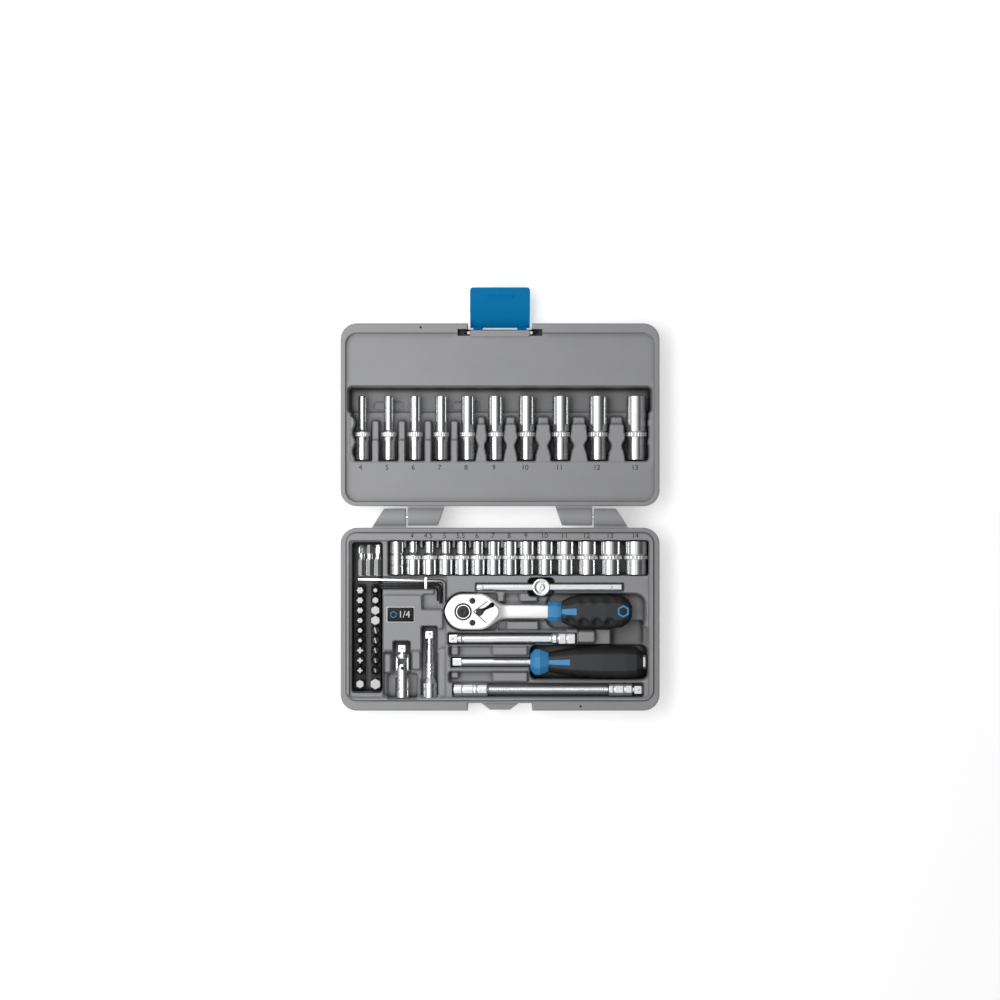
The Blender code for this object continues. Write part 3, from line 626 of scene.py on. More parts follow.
# %% Base relief
BASE_LOW, BASE_HIGH = (-125.0, -71.65), (125.0, 71.65)
SHORT = {"4": -68.1, "4.5": -55.4, "5": -42.5, "5.5": -30.0, "6": -17.2, "7": -4.9, "8": 7.9,
         "9": 21.0, "10": 35.5, "11": 51.2, "12": 68.4, "13": 86.8, "14": 106.6}
RATCHET = np.array([-28.9, 5.9, 20.5])
TRAY_Z = 24.6
FLOOR_Z = 16.0
LOW_FLOORS = (((2.5, 11.0), (54.0, 21.5)), ((-3.0, -9.8), (54.0, -0.5)),
              ((-41.0, -30.5), (24.0, -20.0)), ((-41.0, -50.8), (24.0, -40.0)),
              ((60.0, -22.0), (116.5, -5.0)), ((-92.4, -61.5), (-47.5, -24.8)))
PADS = (((-39.1, -29.2), (-31.5, -20.7)), ((-6.9, -29.2), (22.8, -20.7)),
        ((-39.1, -47.2), (-31.5, -40.7)), ((-6.9, -50.0), (22.8, -40.7)),
        ((60.2, -19.5), (75.5, -8.2)), ((14.4, 12.8), (30.5, 21.3)),
        ((4.2, -9.3), (31.3, -0.7)), ((-70.0, -40.5), (-61.4, -24.5)),
        ((-91.6, -43.0), (-84.4, -26.0)), ((-63.4, -61.5), (-61.4, -46.0)))


def base_relief(g):
    g.cut(g.box((-121.0, -64.4), (121.0, 68.3), 8.6), RIM_Z - 1.0, 0.4)
    g.lift(g.box((-120.5, -63.8), (120.5, 67.7), 8.2), TONGUE_Z, 0.7)
    g.cut(g.box((-118.5, -61.9), (117.3, 62.2), 3.0), TRAY_Z, 1.2)
    # broad lower floors, then the pads that stand in them
    for low, high in LOW_FLOORS:
        g.cut(g.box(low, high, 3.0), FLOOR_Z, 2.2)
    for low, high in PADS:
        g.lift(g.box(low, high, 2.4), 24.0, 1.9)
    # the badge's plateau steps down to a shelf on its right
    g.cut(g.box((-61.5, -24.5), (-41.5, 20.5), 3.0), 21.0, 1.6)
    g.lift(g.box((-92.6, -25.2), (-60.3, 19.8), 3.0), 27.5, 1.8)
    g.lift(g.box((-66.0, -8.4), (-43.8, 8.6), 3.0), 27.5, 1.8)
    g.lift(g.box((-48.0, -61.0), (-42.0, -22.0), 2.0), 25.6, 1.5)
    # bits, keys and long bits
    g.cut(g.box((-116.6, -57.9), (-91.8, 60.8), 3.0), 3.0, 1.4)
    g.cut(g.box((-113.4, 22.8), (-41.2, 33.8), 2.0), 21.8, 1.2)
    g.cut(g.box((-52.2, 8.4), (-41.2, 33.4), 2.0), 21.8, 1.2)
    # short sockets, with low ribs that keep their upper ends apart
    g.cut(g.box((-88.4, 33.8), (117.1, 62.1), 2.5), 9.2, 1.3)
    places = [-81.0] + list(SHORT.values())
    for left, right in zip(places[:8], places[1:9]):
        middle = (left + right) / 2
        g.lift(g.box((middle - 2.0, 54.8), (middle + 2.0, 64.0), 1.8), 19.5, 1.3)
    # sliding T-bar
    g.cut(g.box((-19.6, 21.2), (97.7, 29.0), 1.6), 18.2, 1.3)
    g.cut(g.box((21.5, 17.2), (43.1, 32.9), 4.0), 6.6, 1.4)
    # ratchet: round head, neck, grip
    g.cut(g.disc(RATCHET[:2], 15.7), 8.6)
    g.cut(g.box((-28.9, -9.8), (-1.0, 21.6), 4.0), 15.2)
    g.cut(g.box((-8.9, -2.6), (46.0, 14.4), 2.0), 15.2)
    g.cut(g.box((35.6, -8.8), (115.0, 20.9), 9.0), 10.6, 2.2)
    g.cut(g.box((86.0, -22.0), (114.0, 0.0), 4.0), 5.0, 2.6)
    # extensions, spinner handle, universal joint
    g.cut(g.box((-41.6, -20.9), (60.8, -9.9), 2.0), 13.4)
    g.cut(g.box((-39.3, -38.8), (24.9, -29.0), 2.0), 11.8)
    g.cut(g.box((22.5, -48.4), (116.9, -19.4), 6.0), 2.2, 2.2)
    g.cut(g.box((-37.8, -61.8), (113.3, -49.3), 2.2), 13.4)
    g.cut(g.box((-84.4, -62.0), (-69.6, -16.4), 2.2), 11.8)
    g.cut(g.box((-89.4, -63.0), (-64.0, -42.0), 3.0), 11.8)
    g.cut(g.box((-62.2, -62.0), (-48.4, -4.6), 2.2), 12.2)


# the tongue that the latch hooks under, standing in the notch
catch = plate([(14.2, -65.0), (-14.2, -65.0), (-14.2, -66.2), (-7.8, -71.0), (7.8, -71.0), (14.2, -66.2)],
              10.7, 23.9, 0.5)
tongue_lines = [s * (120.5 + e) for s in (-1, 1) for e in (-0.7, -0.25, 0.15, 0.5)]
tray_lines = [-118.5, -118.0, -117.3, 117.3, 116.7, 116.1]
base_half, base_painted_shade = case_half(
    BASE_LOW, BASE_HIGH, -1, 5.85, tongue_lines + tray_lines,
    [-64.4, -64.1, -63.8, -63.4, -63.1, -61.9, 67.1, 67.5, 67.8, 68.1, 68.4, 62.2], base_relief)
base_form = join([base_half, knuckle(-1, 73.6, 90.6, 100.5, False), knuckle(1, 73.6, 90.6, 100.5, False),
                  outward(catch)])
# the tray's painted shade darkens its hollows and deep floors
piece("base_tray", base_form, "base", CASE, ["case_base"], sharp=48, shade=base_painted_shade)
print(made_pieces[-1])

# %% [markdown]
# ### The lid
# The lid is a plain recessed panel with one long trough for the fingertips and ten slots for the deep
# sockets. Wavy islands between the slots grip the bigger sockets; the smaller ones have two short ribs
# instead.

# %% Lid relief
LID_LOW, LID_HIGH = (-125.0, 88.55), (125.0, 231.85)
DEEP = {"4": -108.2, "5": -87.5, "6": -66.9, "7": -46.3, "8": -25.4, "9": -3.6, "10": 20.8, "11": 47.8,
        "12": 77.0, "13": 106.9}


def deep_sizes(size):
    """Widths of a deep socket's hexagon end, drive end and ring."""
    hex_end = 1.02 * size + 2.4
    return hex_end, max(10.8, hex_end - 1.8), max(12.0, hex_end + 1.0)


def lid_relief(g):
    g.cut(g.box((-121.4, 91.6), (121.4, 224.7), 9.8), 23.0, 0.9)
    g.cut(g.box((-120.2, 160.4), (120.1, 183.3), 4.5), 3.2, 2.6)
    g.cut(g.box((-117.9, 123.2), (117.9, 165.5), 3.0), 5.4, 1.9)
    for low, high in (((-99.4, 163.9), (-76.5, 170.6)), ((-37.4, 163.9), (-16.2, 170.6))):
        ring = np.abs(g.box(low, high, 2.0)) - 0.55
        g.lift(ring, 3.9, 0.5)
    x, y = g.x, g.y
    sizes = [(x_at, deep_sizes(float(name))) for name, x_at in DEEP.items()]
    for (left, left_sizes), (right, right_sizes) in zip(sizes, sizes[1:]):
        low_x, high_x = left + left_sizes[2] / 2 + 0.9, right - right_sizes[2] / 2 - 0.9
        middle, half = (low_x + high_x) / 2, (high_x - low_x) / 2
        if left < -30:
            g.lift(g.box((middle - 3.4, 138.0), (middle + 3.4, 156.4), 2.4), 16.5, 1.5)
            g.lift(g.box((middle - half, 122.0), (middle + half, 141.4), 2.6), 22.3, 1.4)
            continue
        waist = min(1.9, 0.3 * half) * np.exp(-((y - 136.5) / 3.6) ** 2)
        wave = half + 0.9 - waist + 0.5 * np.cos((y - 124) * 0.35)
        distance = np.maximum(np.abs(x - middle) - wave, np.hypot(
            np.maximum(np.abs(x - middle) - wave + 3, 0), np.maximum(y - 151.0, 0)) - 3)
        g.lift(np.maximum(distance, 121.0 - y), 22.3, 1.5)
        g.lift(g.box((middle - half * 0.95, 148.0), (middle + half * 0.95, 159.8), 3.0), 15.0, 2.0)
    for side, edge in ((-1, -115.3), (1, 117.9)):
        wave = 1.3 + 1.0 * np.cos((y - 124) * 0.42)
        g.lift(np.maximum(side * (edge - x) - wave, 121.0 - y) + np.maximum(y - 158.0, 0), 22.3, 1.5)
    # the latch's slot and the room for its two arms
    g.cut(g.box((-33.3, 222.1), (33.3, 227.4), 0.3), 14.0, 0.4)
    for arm in (-17.5, 17.5):
        g.cut(g.box((arm - 4.7, 222.1), (arm + 4.7, 233.0), 0.3), 8.6, 0.4)


panel_lines = ([s * (121.4 - e) for s in (-1, 1) for e in (0, 0.45, 0.9)]
               + [s * (33.3 - e) for s in (-1, 1) for e in (0, 0.4)])
lid_half, lid_painted_shade = case_half(
    LID_LOW, LID_HIGH, 1, 6.75, panel_lines,
    [v - 160.2 for v in (91.6, 92.1, 92.6, 224.7, 224.2, 223.7, 222.1, 222.5, 227.0, 227.4)], lid_relief)
lid_form = join([lid_half, knuckle(-1, 72.2, 48.6, 43.3, True), knuckle(1, 72.2, 48.6, 43.3, True)])
# the lid's painted shade darkens its trough, slots and the feet of its walls
piece("lid_panel", lid_form, "lid", CASE, ["case_lid"], sharp=48, shade=lid_painted_shade)
# a bar of the lid bridges the latch's pin, between the two windows that show the pin's ends
bridge = rounded_box((-23.4, 221.4, 21.8), (23.2, 226.4, 24.8), 0.8, 0.4)
piece("lid_latch_bridge", bridge, "lid", CASE)
bosses = [rounded_box((x - 1.1, 223.3, 21.8), (x + 1.1, 225.7, 24.2), 0.9, 0.35) for x in (-24.6, 24.5)]
piece("lid_bridge_bosses", join(bosses), "lid", WHITE_INK)
print(made_pieces[-1])

# %% [markdown]
# ### Figures and small marks
# The sizes stand beside each socket in fine raised figures, coloured near black as painted shade of their
# moulded relief. Two tiny round holes are left from the moulding, and a small dark disc in each is painted
# shade of its hollow.

# %% Size numbers and blow holes
FIGURE = 4.0
# painted shade: the raised figures are coloured near black, where their moulded relief shows shade
base_figures = [lettering(size, FIGURE, (x - 0.8, 65.3), TONGUE_Z + 0.08) for size, x in SHORT.items()]
lid_figures = [lettering(size, FIGURE, (x - 1.2, 118.8), 23.08) for size, x in DEEP.items()]
piece("base_size_figures", join(base_figures), "base", FIGURE_SHADE_AND_ARROW)
piece("lid_size_figures", join(lid_figures), "lid", FIGURE_SHADE_AND_ARROW)
# painted shade: a near-black disc stands in each blow hole, where its hollow is dark
hole_shade_disc = [(RIM_Z - 0.4, 0.9, ROUND), (RIM_Z + 0.04, 0.9, ROUND), (RIM_Z + 0.04, 0.3, ROUND)]
piece("base_blow_hole_shade", turned("Z", (63.1, -68.2, 0), hole_shade_disc), "base", BADGE_FILM_AND_HOLE_SHADE)
piece("lid_blow_hole_shade", turned("Z", (-62.2, 228.6, 0), hole_shade_disc), "lid", BADGE_FILM_AND_HOLE_SHADE)

# %% [markdown]
# ## Sockets
# A socket is turned from bar, broached square at one end and hexagonal at the other, knurled round its middle
# and plated. Here it is one stack of rings from the floor of the square bore, out over the whole outside, and
# back in to the floor of the hexagon bore, so that both bores are real.

# %% One socket
SQUARE_HALF = 3.3
HEX_HALF = 3.175
EASE = 0.35


def socket_form(centre, size, length, widths, ring_at, ring_end, square_depth, hex_depth):
    """Rings along Y. Both mouths are chamfered; the knurled ring stands between two narrow grooves."""
    hex_r, drive_r, ring_r = (w / 2 for w in widths)
    square_r = min(SQUARE_HALF, drive_r * 0.62)
    hex_bore = size / 2
    shoulder = max(1.2, abs(drive_r - hex_r) * 1.1)
    outside = eased([
        (0.0, square_r + 0.35, ROUND), (0.0, drive_r, ROUND), (ring_at - 0.5, drive_r, ROUND),
        (ring_at - 0.3, drive_r - 0.25, ROUND), (ring_end + 0.3, drive_r - 0.25, ROUND),
        (ring_end + shoulder, hex_r, ROUND), (length, hex_r, ROUND),
        (length, min(hex_bore * 1.13 + 0.5, hex_r - 0.4), ROUND)], EASE)
    bores_in = [(square_depth, square_r * 0.98, SQUARE), (0.5, square_r, SQUARE),
                (0.0, square_r + 0.3, SQUARE)]
    bores_out = [(length, hex_bore + 0.25, HEXAGON), (length - 0.6, hex_bore, HEXAGON),
                 (length - hex_depth, hex_bore, HEXAGON)]
    ring = band("Y", centre, ring_at, ring_end, drive_r - 0.5, ring_r, TEETH)
    return turned("Y", centre, bores_in + outside + bores_out), ring


for name, x in DEEP.items():
    size = float(name)
    form, ring = socket_form((x, 125.1, 12.0), size, 50.0, deep_sizes(size), 18.3, 21.5, 11.0, 24.0)
    node = "deep_socket_" + name
    piece(node + "_body", form, node, CHROME, [node])
    piece(node + "_ring", ring, node, KNURL, sharp=15)

for name, x in SHORT.items():
    size = float(name)
    hex_width = 1.13 * size + 1.8
    widths = (hex_width, max(11.2, hex_width - 1.3), max(11.9, hex_width + 0.9))
    node = "socket_" + name.replace(".", "_")
    form, ring = socket_form((x, 34.9, 19.5), size, 26.0, widths, 12.1, 14.8, 9.0, 11.0)
    piece(node + "_body", form, node, CHROME, [node])
    piece(node + "_ring", ring, node, KNURL, sharp=15)

# %% The bit holder has two turned grooves in place of the ring
holder = eased([(0.0, 3.65, ROUND), (0.0, 5.7, ROUND), (6.6, 5.7, ROUND), (6.9, 5.35, ROUND),
                (7.4, 5.35, ROUND), (7.7, 5.7, ROUND), (15.2, 5.7, ROUND), (15.6, 5.2, ROUND),
                (16.3, 5.2, ROUND), (16.7, 5.7, ROUND), (26.0, 5.7, ROUND), (26.0, 4.2, ROUND)], 0.5)
holder = ([(9.0, 3.2, SQUARE), (0.5, SQUARE_HALF, SQUARE), (0.0, 3.6, SQUARE)] + holder
          + [(26.0, 3.5, HEXAGON), (25.4, HEX_HALF, HEXAGON), (15.0, HEX_HALF, HEXAGON)])
piece("bit_adapter_body", turned("Y", (-81.0, 34.9, 19.5), holder), "bit_adapter", CHROME,
      ["bit_adapter"])
print("sockets:", len(DEEP) + len(SHORT))

# %% [markdown]
# ## Bits
# Ten quarter-inch bits stand in each rail. A bit is a black hexagon body, a turned neck and a bright tip, and
# the tip's section says what it drives: star, cross, hexagon or slot. A section is a reach at each angle, so
# the same lathe turns them all.

# %% Tip sections
STAR = 1 + 0.13 * np.cos(6 * TURN)
CROSS = 0.55 + 0.45 * np.abs(np.cos(2 * TURN)) ** 3
SLOT = np.minimum(1 / np.maximum(np.abs(np.cos(TURN)), 1e-3), 0.2 / np.maximum(np.abs(np.sin(TURN)), 1e-3))
SLOT = np.roll(np.minimum(SLOT, 1.02), AROUND // 4 + 2)
TIPS = {"star": STAR, "cross": CROSS, "hexagon": HEXAGON, "slot": SLOT}
PITCH, FIRST_BIT_Y, LAST_BIT_Y = 7.85, 22.7, -50.7


def standing_bit(x, y, tip, width, body=2 * HEX_HALF, top=28.3):
    """The black body and neck, and the tip above them, as two forms."""
    black = turned("Z", (x, y, 0), [(4.6, body / 2 - 0.4, HEXAGON), (5.0, body / 2, HEXAGON),
                                    (18.6, body / 2, HEXAGON), (19.4, body / 2 - 0.5, HEXAGON),
                                    (19.8, width / 2 + 0.3, ROUND), (22.6, width / 2, ROUND)])
    section = TIPS[tip]
    bright = turned("Z", (x, y, 0), [(22.0, width / 2 - 0.1, section), (23.5, width / 2, section),
                                     (top - 0.4, width / 2, section), (top, width / 2 - 0.35, section)])
    return black, bright


STARS_AND_CROSSES = [("star", width) for width in (5.3, 5.1, 4.8, 4.4, 3.9, 3.4)] + [
    ("cross", width) for width in (5.6, 5.2, 4.8)]
HEXAGONS_AND_SLOTS = [("hexagon", width) for width in (3.4, 4.9, 6.6, 6.8)] + [
    ("slot", width) for width in (5.4, 5.0, 4.6, 4.2, 3.8)]
RAILS = {"bit_rail_left": (-109.6, STARS_AND_CROSSES, ("hexagon", 6.0)),
         "bit_rail_right": (-97.6, HEXAGONS_AND_SLOTS, ("hexagon", 7.8))}
for node, (x, tips, last) in RAILS.items():
    blacks, brights, sleeves = [], [], []
    places = [(FIRST_BIT_Y - i * PITCH, tip, width) for i, (tip, width) in enumerate(tips)]
    for y, tip, width in places + [(LAST_BIT_Y, *last)]:
        body = max(2 * HEX_HALF, width + 0.2)
        black, bright = standing_bit(x, y, tip, width, body)
        blacks.append(black)
        brights.append(bright)
        collar_r = body / 2 * 1.13 + 0.15
        sleeves.append(turned("Z", (x, y, 0), [(13.0, 3.85, ROUND), (16.6, 3.85, ROUND), (17.0, 3.5, ROUND),
                                               (17.0, min(collar_r, 3.45), ROUND),
                                               (15.5, min(collar_r, 3.4), ROUND)]))
    rail = rounded_box((x - 3.9, -54.9, 3.6), (x + 3.9, 27.2, 13.5), 1.6, 0.5)
    piece(node + "_holder", join([rail] + sleeves), node, GRIP, [node])
    piece(node + "_bits", join(blacks), node, OXIDE)
    piece(node + "_tips", join(brights), node, TIP)

# %% Long bits lie beside them
def lying_bit(x, z, tip, width):
    """A hexagon shank, a neck, and a tip that points away from the hinge's other side."""
    section = TIPS[tip]
    point = 0.25 if tip == "cross" else 0.85
    return turned("Y", (x, 33.9, z), [(0.0, 2.3, HEXAGON), (0.5, 2.8, HEXAGON), (12.6, 2.8, HEXAGON),
                                      (13.4, 2.5, ROUND), (15.6, width / 2 + 0.2, ROUND),
                                      (17.2, width / 2, ROUND), (17.8, width / 2, section),
                                      (22.0, width / 2, section),
                                      (23.6, width / 2 * (0.4 + point / 2), section),
                                      (24.3, width / 2 * point, section)])


for node, x, tip, width in (("long_bit_cross", -108.4, "cross", 5.4),
                            ("long_bit_hex", -102.0, "hexagon", 4.7), ("long_bit_star", -95.6, "star", 3.9)):
    piece(node + "_body", lying_bit(x, 24.0, tip, width), node, CHROME, [node])

# %% [markdown]
# ## Hexagon keys
# A key is hexagon wire bent once. The section is carried along its centre line: a long arm, a bend and a
# short arm.

# %% Keys and their clip
def drawn(path, radius, sides=6, start_angle=0.0):
    """A regular section carried along a path: each ring stands across the path's own direction there."""
    path = np.asarray(path, float)
    along = np.gradient(path, axis=0)
    along /= np.linalg.norm(along, axis=1, keepdims=True)
    reference = np.array([0, 0, 1.0]) if np.abs(along[:, 2]).max() < 0.9 else np.array([1.0, 0, 0])
    across = np.cross(along, reference)
    across /= np.linalg.norm(across, axis=1, keepdims=True)
    up = np.cross(across, along)
    angle = start_angle + np.arange(sides) * 2 * math.pi / sides
    ring = np.cos(angle)[None, :, None] * across[:, None] + np.sin(angle)[None, :, None] * up[:, None]
    return skin(path[:, None] + np.atleast_1d(radius)[..., None, None] * ring)


def bent_key(start, corner, end_y, bend=3.2, z=25.4):
    """The centre line: to the bend's start, a quarter circle, and down the short arm."""
    angle = np.radians(np.linspace(90, 0, 12))
    arc = np.column_stack([corner[0] - bend + bend * np.cos(angle), corner[1] - bend + bend * np.sin(angle)])
    flat = np.vstack([[start], arc, [[corner[0], end_y]]])
    return np.column_stack([flat, np.full(len(flat), z)])


KEYS = (("hex_key_large", 2.4, (-111.0, 31.4), (-43.7, 29.9), 11.2, CHROME_X, "chrome_steel"),
        ("hex_key_medium", 1.9, (-93.6, 27.1), (-46.5, 27.1), 12.4, OXIDE, "black_steel"),
        ("hex_key_small", 1.5, (-93.6, 24.8), (-48.75, 24.8), 14.4, OXIDE, "black_steel"))
for node, width, start, corner, end_y, surface, slot in KEYS:
    form = drawn(bent_key(start, corner, end_y), width / 2 * 1.13)
    # painted shade: the far arm is darkened, as it turns away from the light boxes and mirrors the dark of
    # its groove
    shade = 0.8 * smooth((form[0][:, 0] + 66.0) / 14.0)
    piece(node + "_wire", form, node, surface, [node], sharp=25, shade=shade)
clip = rounded_box((-59.0, 23.6, 24.2), (-56.9, 33.0, 27.3), 0.6, 0.25)
piece("hex_key_clip", clip, "base", CHROME)

# %% [markdown]
# ## Sliding T-bar
# The bar is plain round stock with a detent ball near each end. The head slides on it: a round body with a
# spring plug on top and the drive square below.

# %% T-bar
TBAR = (32.3, 25.1, 22.0)
bar = eased([(-50.7, 1.6, ROUND), (-50.7, 2.9, ROUND), (63.5, 2.9, ROUND), (63.5, 1.6, ROUND)], 0.8)
balls = [turned("Z", (x, TBAR[1], TBAR[2]), [(2.2, 1.3, ROUND), (2.75, 1.2, ROUND), (3.15, 0.8, ROUND),
                                             (3.35, 0.3, ROUND)]) for x in (-13.9, 87.2)]
piece("tbar_rod", join([turned("X", TBAR, bar)] + balls), "tbar", CHROME_X, ["tbar_bar"])
head = ([(-14.5, 2.6, SQUARE), (-13.8, 3.15, SQUARE), (-7.2, 3.15, SQUARE)]
        + eased([(-7.0, 4.4, ROUND), (-7.0, 6.8, ROUND), (7.4, 6.8, ROUND), (7.4, 4.9, ROUND),
                 (6.7, 4.6, ROUND),
                 (6.7, 2.6, ROUND), (7.1, 2.3, ROUND), (7.1, 0.9, ROUND), (6.6, 0.5, ROUND)], 0.9))
piece("tbar_head", turned("Z", TBAR, head), "tbar_slider", CHROME, ["tbar_slider"])

# %% [markdown]
# ## The ratchet
# The head is a forged pear: a half circle that runs through an S-shaped neck into the shank, with satin
# chrome over it. A cover plate screwed to its top carries the gear's boss with the release button, and the
# reversing lever.

# %% Ratchet head, neck and shank
HEAD_R, SHANK_HALF = 14.2, 5.8
NECK_START, NECK_END = 13.5, 34.5


def half_width(x):
    """Half the head's width: a circle to its middle, then a fall along a cosine down to the shank."""
    round_end = np.sqrt(np.clip(HEAD_R**2 - np.minimum(x, 0) ** 2, 0.01, None))
    fall = (1 + np.cos(np.pi * np.clip((x - NECK_START) / (NECK_END - NECK_START), 0, 1))) / 2
    return np.where(x < 0, round_end, SHANK_HALF + (HEAD_R - SHANK_HALF) * fall)


def at_ratchet(form):
    return moved(form, RATCHET)


head_x = np.concatenate([-HEAD_R * np.cos(np.linspace(0.02, math.pi / 2, 22)), np.linspace(1.5, 67.0, 44)])
forging = []
for x, half in zip(head_x, half_width(head_x)):
    slope = float(smooth((x - 20.0) / 15.0))
    low, top = -3.6 - 0.6 * slope, 5.5 - 1.3 * slope
    section = rounded_rectangle((-half, low), (half, top), min(0.48 * half, 1.7 + 0.9 * slope), 5)
    forging.append(np.column_stack([np.full(len(section), x), section]))
piece("ratchet_head", at_ratchet(skin(forging)), "ratchet", SATIN, ["ratchet_body"], sharp=50)

# the cover follows the head a little inside its edge and comes to a blunt point over the neck
cover_x = np.concatenate([-13.2 * np.cos(np.linspace(0.05, math.pi / 2, 20)), np.linspace(1.5, 28.0, 22)])
point = np.sqrt(np.clip(1 - np.clip((cover_x - 12.0) / 16.3, 0, 1) ** 2.4, 0.0015, 1))
arc = np.sqrt(13.3**2 - np.minimum(cover_x, 0) ** 2)
cover_half = np.where(cover_x < 0, arc, (half_width(cover_x) - 0.9) * point)
cover_outline = np.vstack([np.column_stack([cover_x, -cover_half]),
                           np.column_stack([cover_x, cover_half])[::-1]])
cover = plate(cover_outline, 4.9, 7.25, 0.35)
piece("ratchet_cover_plate", at_ratchet(cover), "ratchet", SATIN, ["ratchet_cover"])

# %% Boss, button, screws, lever and the engraved arrow around it
boss = eased([(-4.0, 4.8, ROUND), (5.2, 4.8, ROUND), (5.2, 6.95, ROUND), (7.5, 6.95, ROUND),
              (7.5, 5.5, ROUND), (6.4, 5.2, ROUND), (5.0, 5.0, ROUND)], 0.5)
square = [(-10.6, 2.7, SQUARE), (-9.9, 3.15, SQUARE), (-4.0, 3.15, SQUARE)]
piece("ratchet_gear_boss", at_ratchet(turned("Z", (0, 0, 0), square + boss)), "ratchet_gear", OXIDE,
      ["ratchet_gear"])
button = eased([(4.9, 4.85, ROUND), (7.7, 4.85, ROUND), (8.25, 3.9, ROUND), (8.3, 1.6, ROUND),
                (8.0, 0.8, ROUND)], 0.6)
piece("ratchet_release_button", at_ratchet(turned("Z", (0, 0, 0), button)), "ratchet_button", OXIDE,
      ["ratchet_button"])
screw = eased([(6.6, 2.45, ROUND), (7.5, 2.45, ROUND), (7.8, 1.9, ROUND)], 0.3) + [
    (7.78, 1.1, HEXAGON), (7.4, 1.05, HEXAGON)]
screws = [turned("Z", (7.3, y, 0), screw) for y in (8.6, -8.6)]
piece("ratchet_screws", at_ratchet(join(screws)), "ratchet", OXIDE)


def engraved(start, end, width, z):
    """A thin dark strip with round ends, laid along a line of the engraving."""
    start, end = np.array(start, float), np.array(end, float)
    heading = math.atan2(*(end - start)[::-1])
    angle = np.radians(np.concatenate([np.linspace(-90, 90, 7), np.linspace(90, 270, 7)]))
    ends = np.repeat([end, start], 7, axis=0)
    outline = ends + width / 2 * np.column_stack([np.cos(angle + heading), np.sin(angle + heading)])
    return skin([np.column_stack([outline, np.full(14, level)]) for level in (z - 0.3, z)])


arrow = [engraved((8.3, 0.2), (18.8, 8.0), 0.75, 7.32), engraved((8.3, 0.2), (17.8, -8.4), 0.75, 7.32)]
piece("ratchet_arrow", at_ratchet(join(arrow)), "ratchet", FIGURE_SHADE_AND_ARROW)
nose, tail = np.radians(np.linspace(-100, 100, 14)), np.radians(np.linspace(-60, 60, 12))
knob = plate(np.vstack([np.column_stack([10.6 + 2.0 * np.cos(nose), 2.0 * np.sin(nose)]),
                        np.column_stack([-2.7 * np.cos(tail), -2.7 * np.sin(tail) * -1])]), 7.6, 9.1, 0.5)
hub = turned("Z", (0, 0, 0), eased([(1.0, 1.8, ROUND), (7.6, 1.8, ROUND), (7.6, 2.7, ROUND),
                                    (9.6, 2.7, ROUND), (9.6, 1.2, ROUND)], 0.5))
ridges = [rounded_box((x, -1.5, 8.8), (x + 0.7, 1.5, 9.5), 0.3, 0.2) for x in (6.2, 8.0, 9.8)]
lever = spun(join([knob, hub] + ridges), "Z", 30.5, (0, 0, 0))
piece("ratchet_reversing_lever", moved(lever, RATCHET + (13.3, 0, 0)), "ratchet_lever", OXIDE,
      ["ratchet_lever"])

# %% [markdown]
# ### Handles
# Both handles are black rubber over a hard core, with a blue sleeve and a blue bar let into the top. The grip
# is a surface of two parameters: the place along the handle, and the angle round it. Dimples for the fingers
# are smooth dents in that surface, and the bar is a patch of the same surface lifted a little.

# %% A grip as a function of place and angle
def along_profile(x, stations):
    """A smooth width between stations (place, value): each span follows the S curve."""
    places, values = np.array(stations, float).T
    k = np.clip(np.searchsorted(places, x) - 1, 0, len(places) - 2)
    t = (x - places[k]) / (places[k + 1] - places[k])
    softened = 0.55 * t + 0.45 * smooth(t)
    return values[k] + (values[k + 1] - values[k]) * softened


UP = math.pi / 2


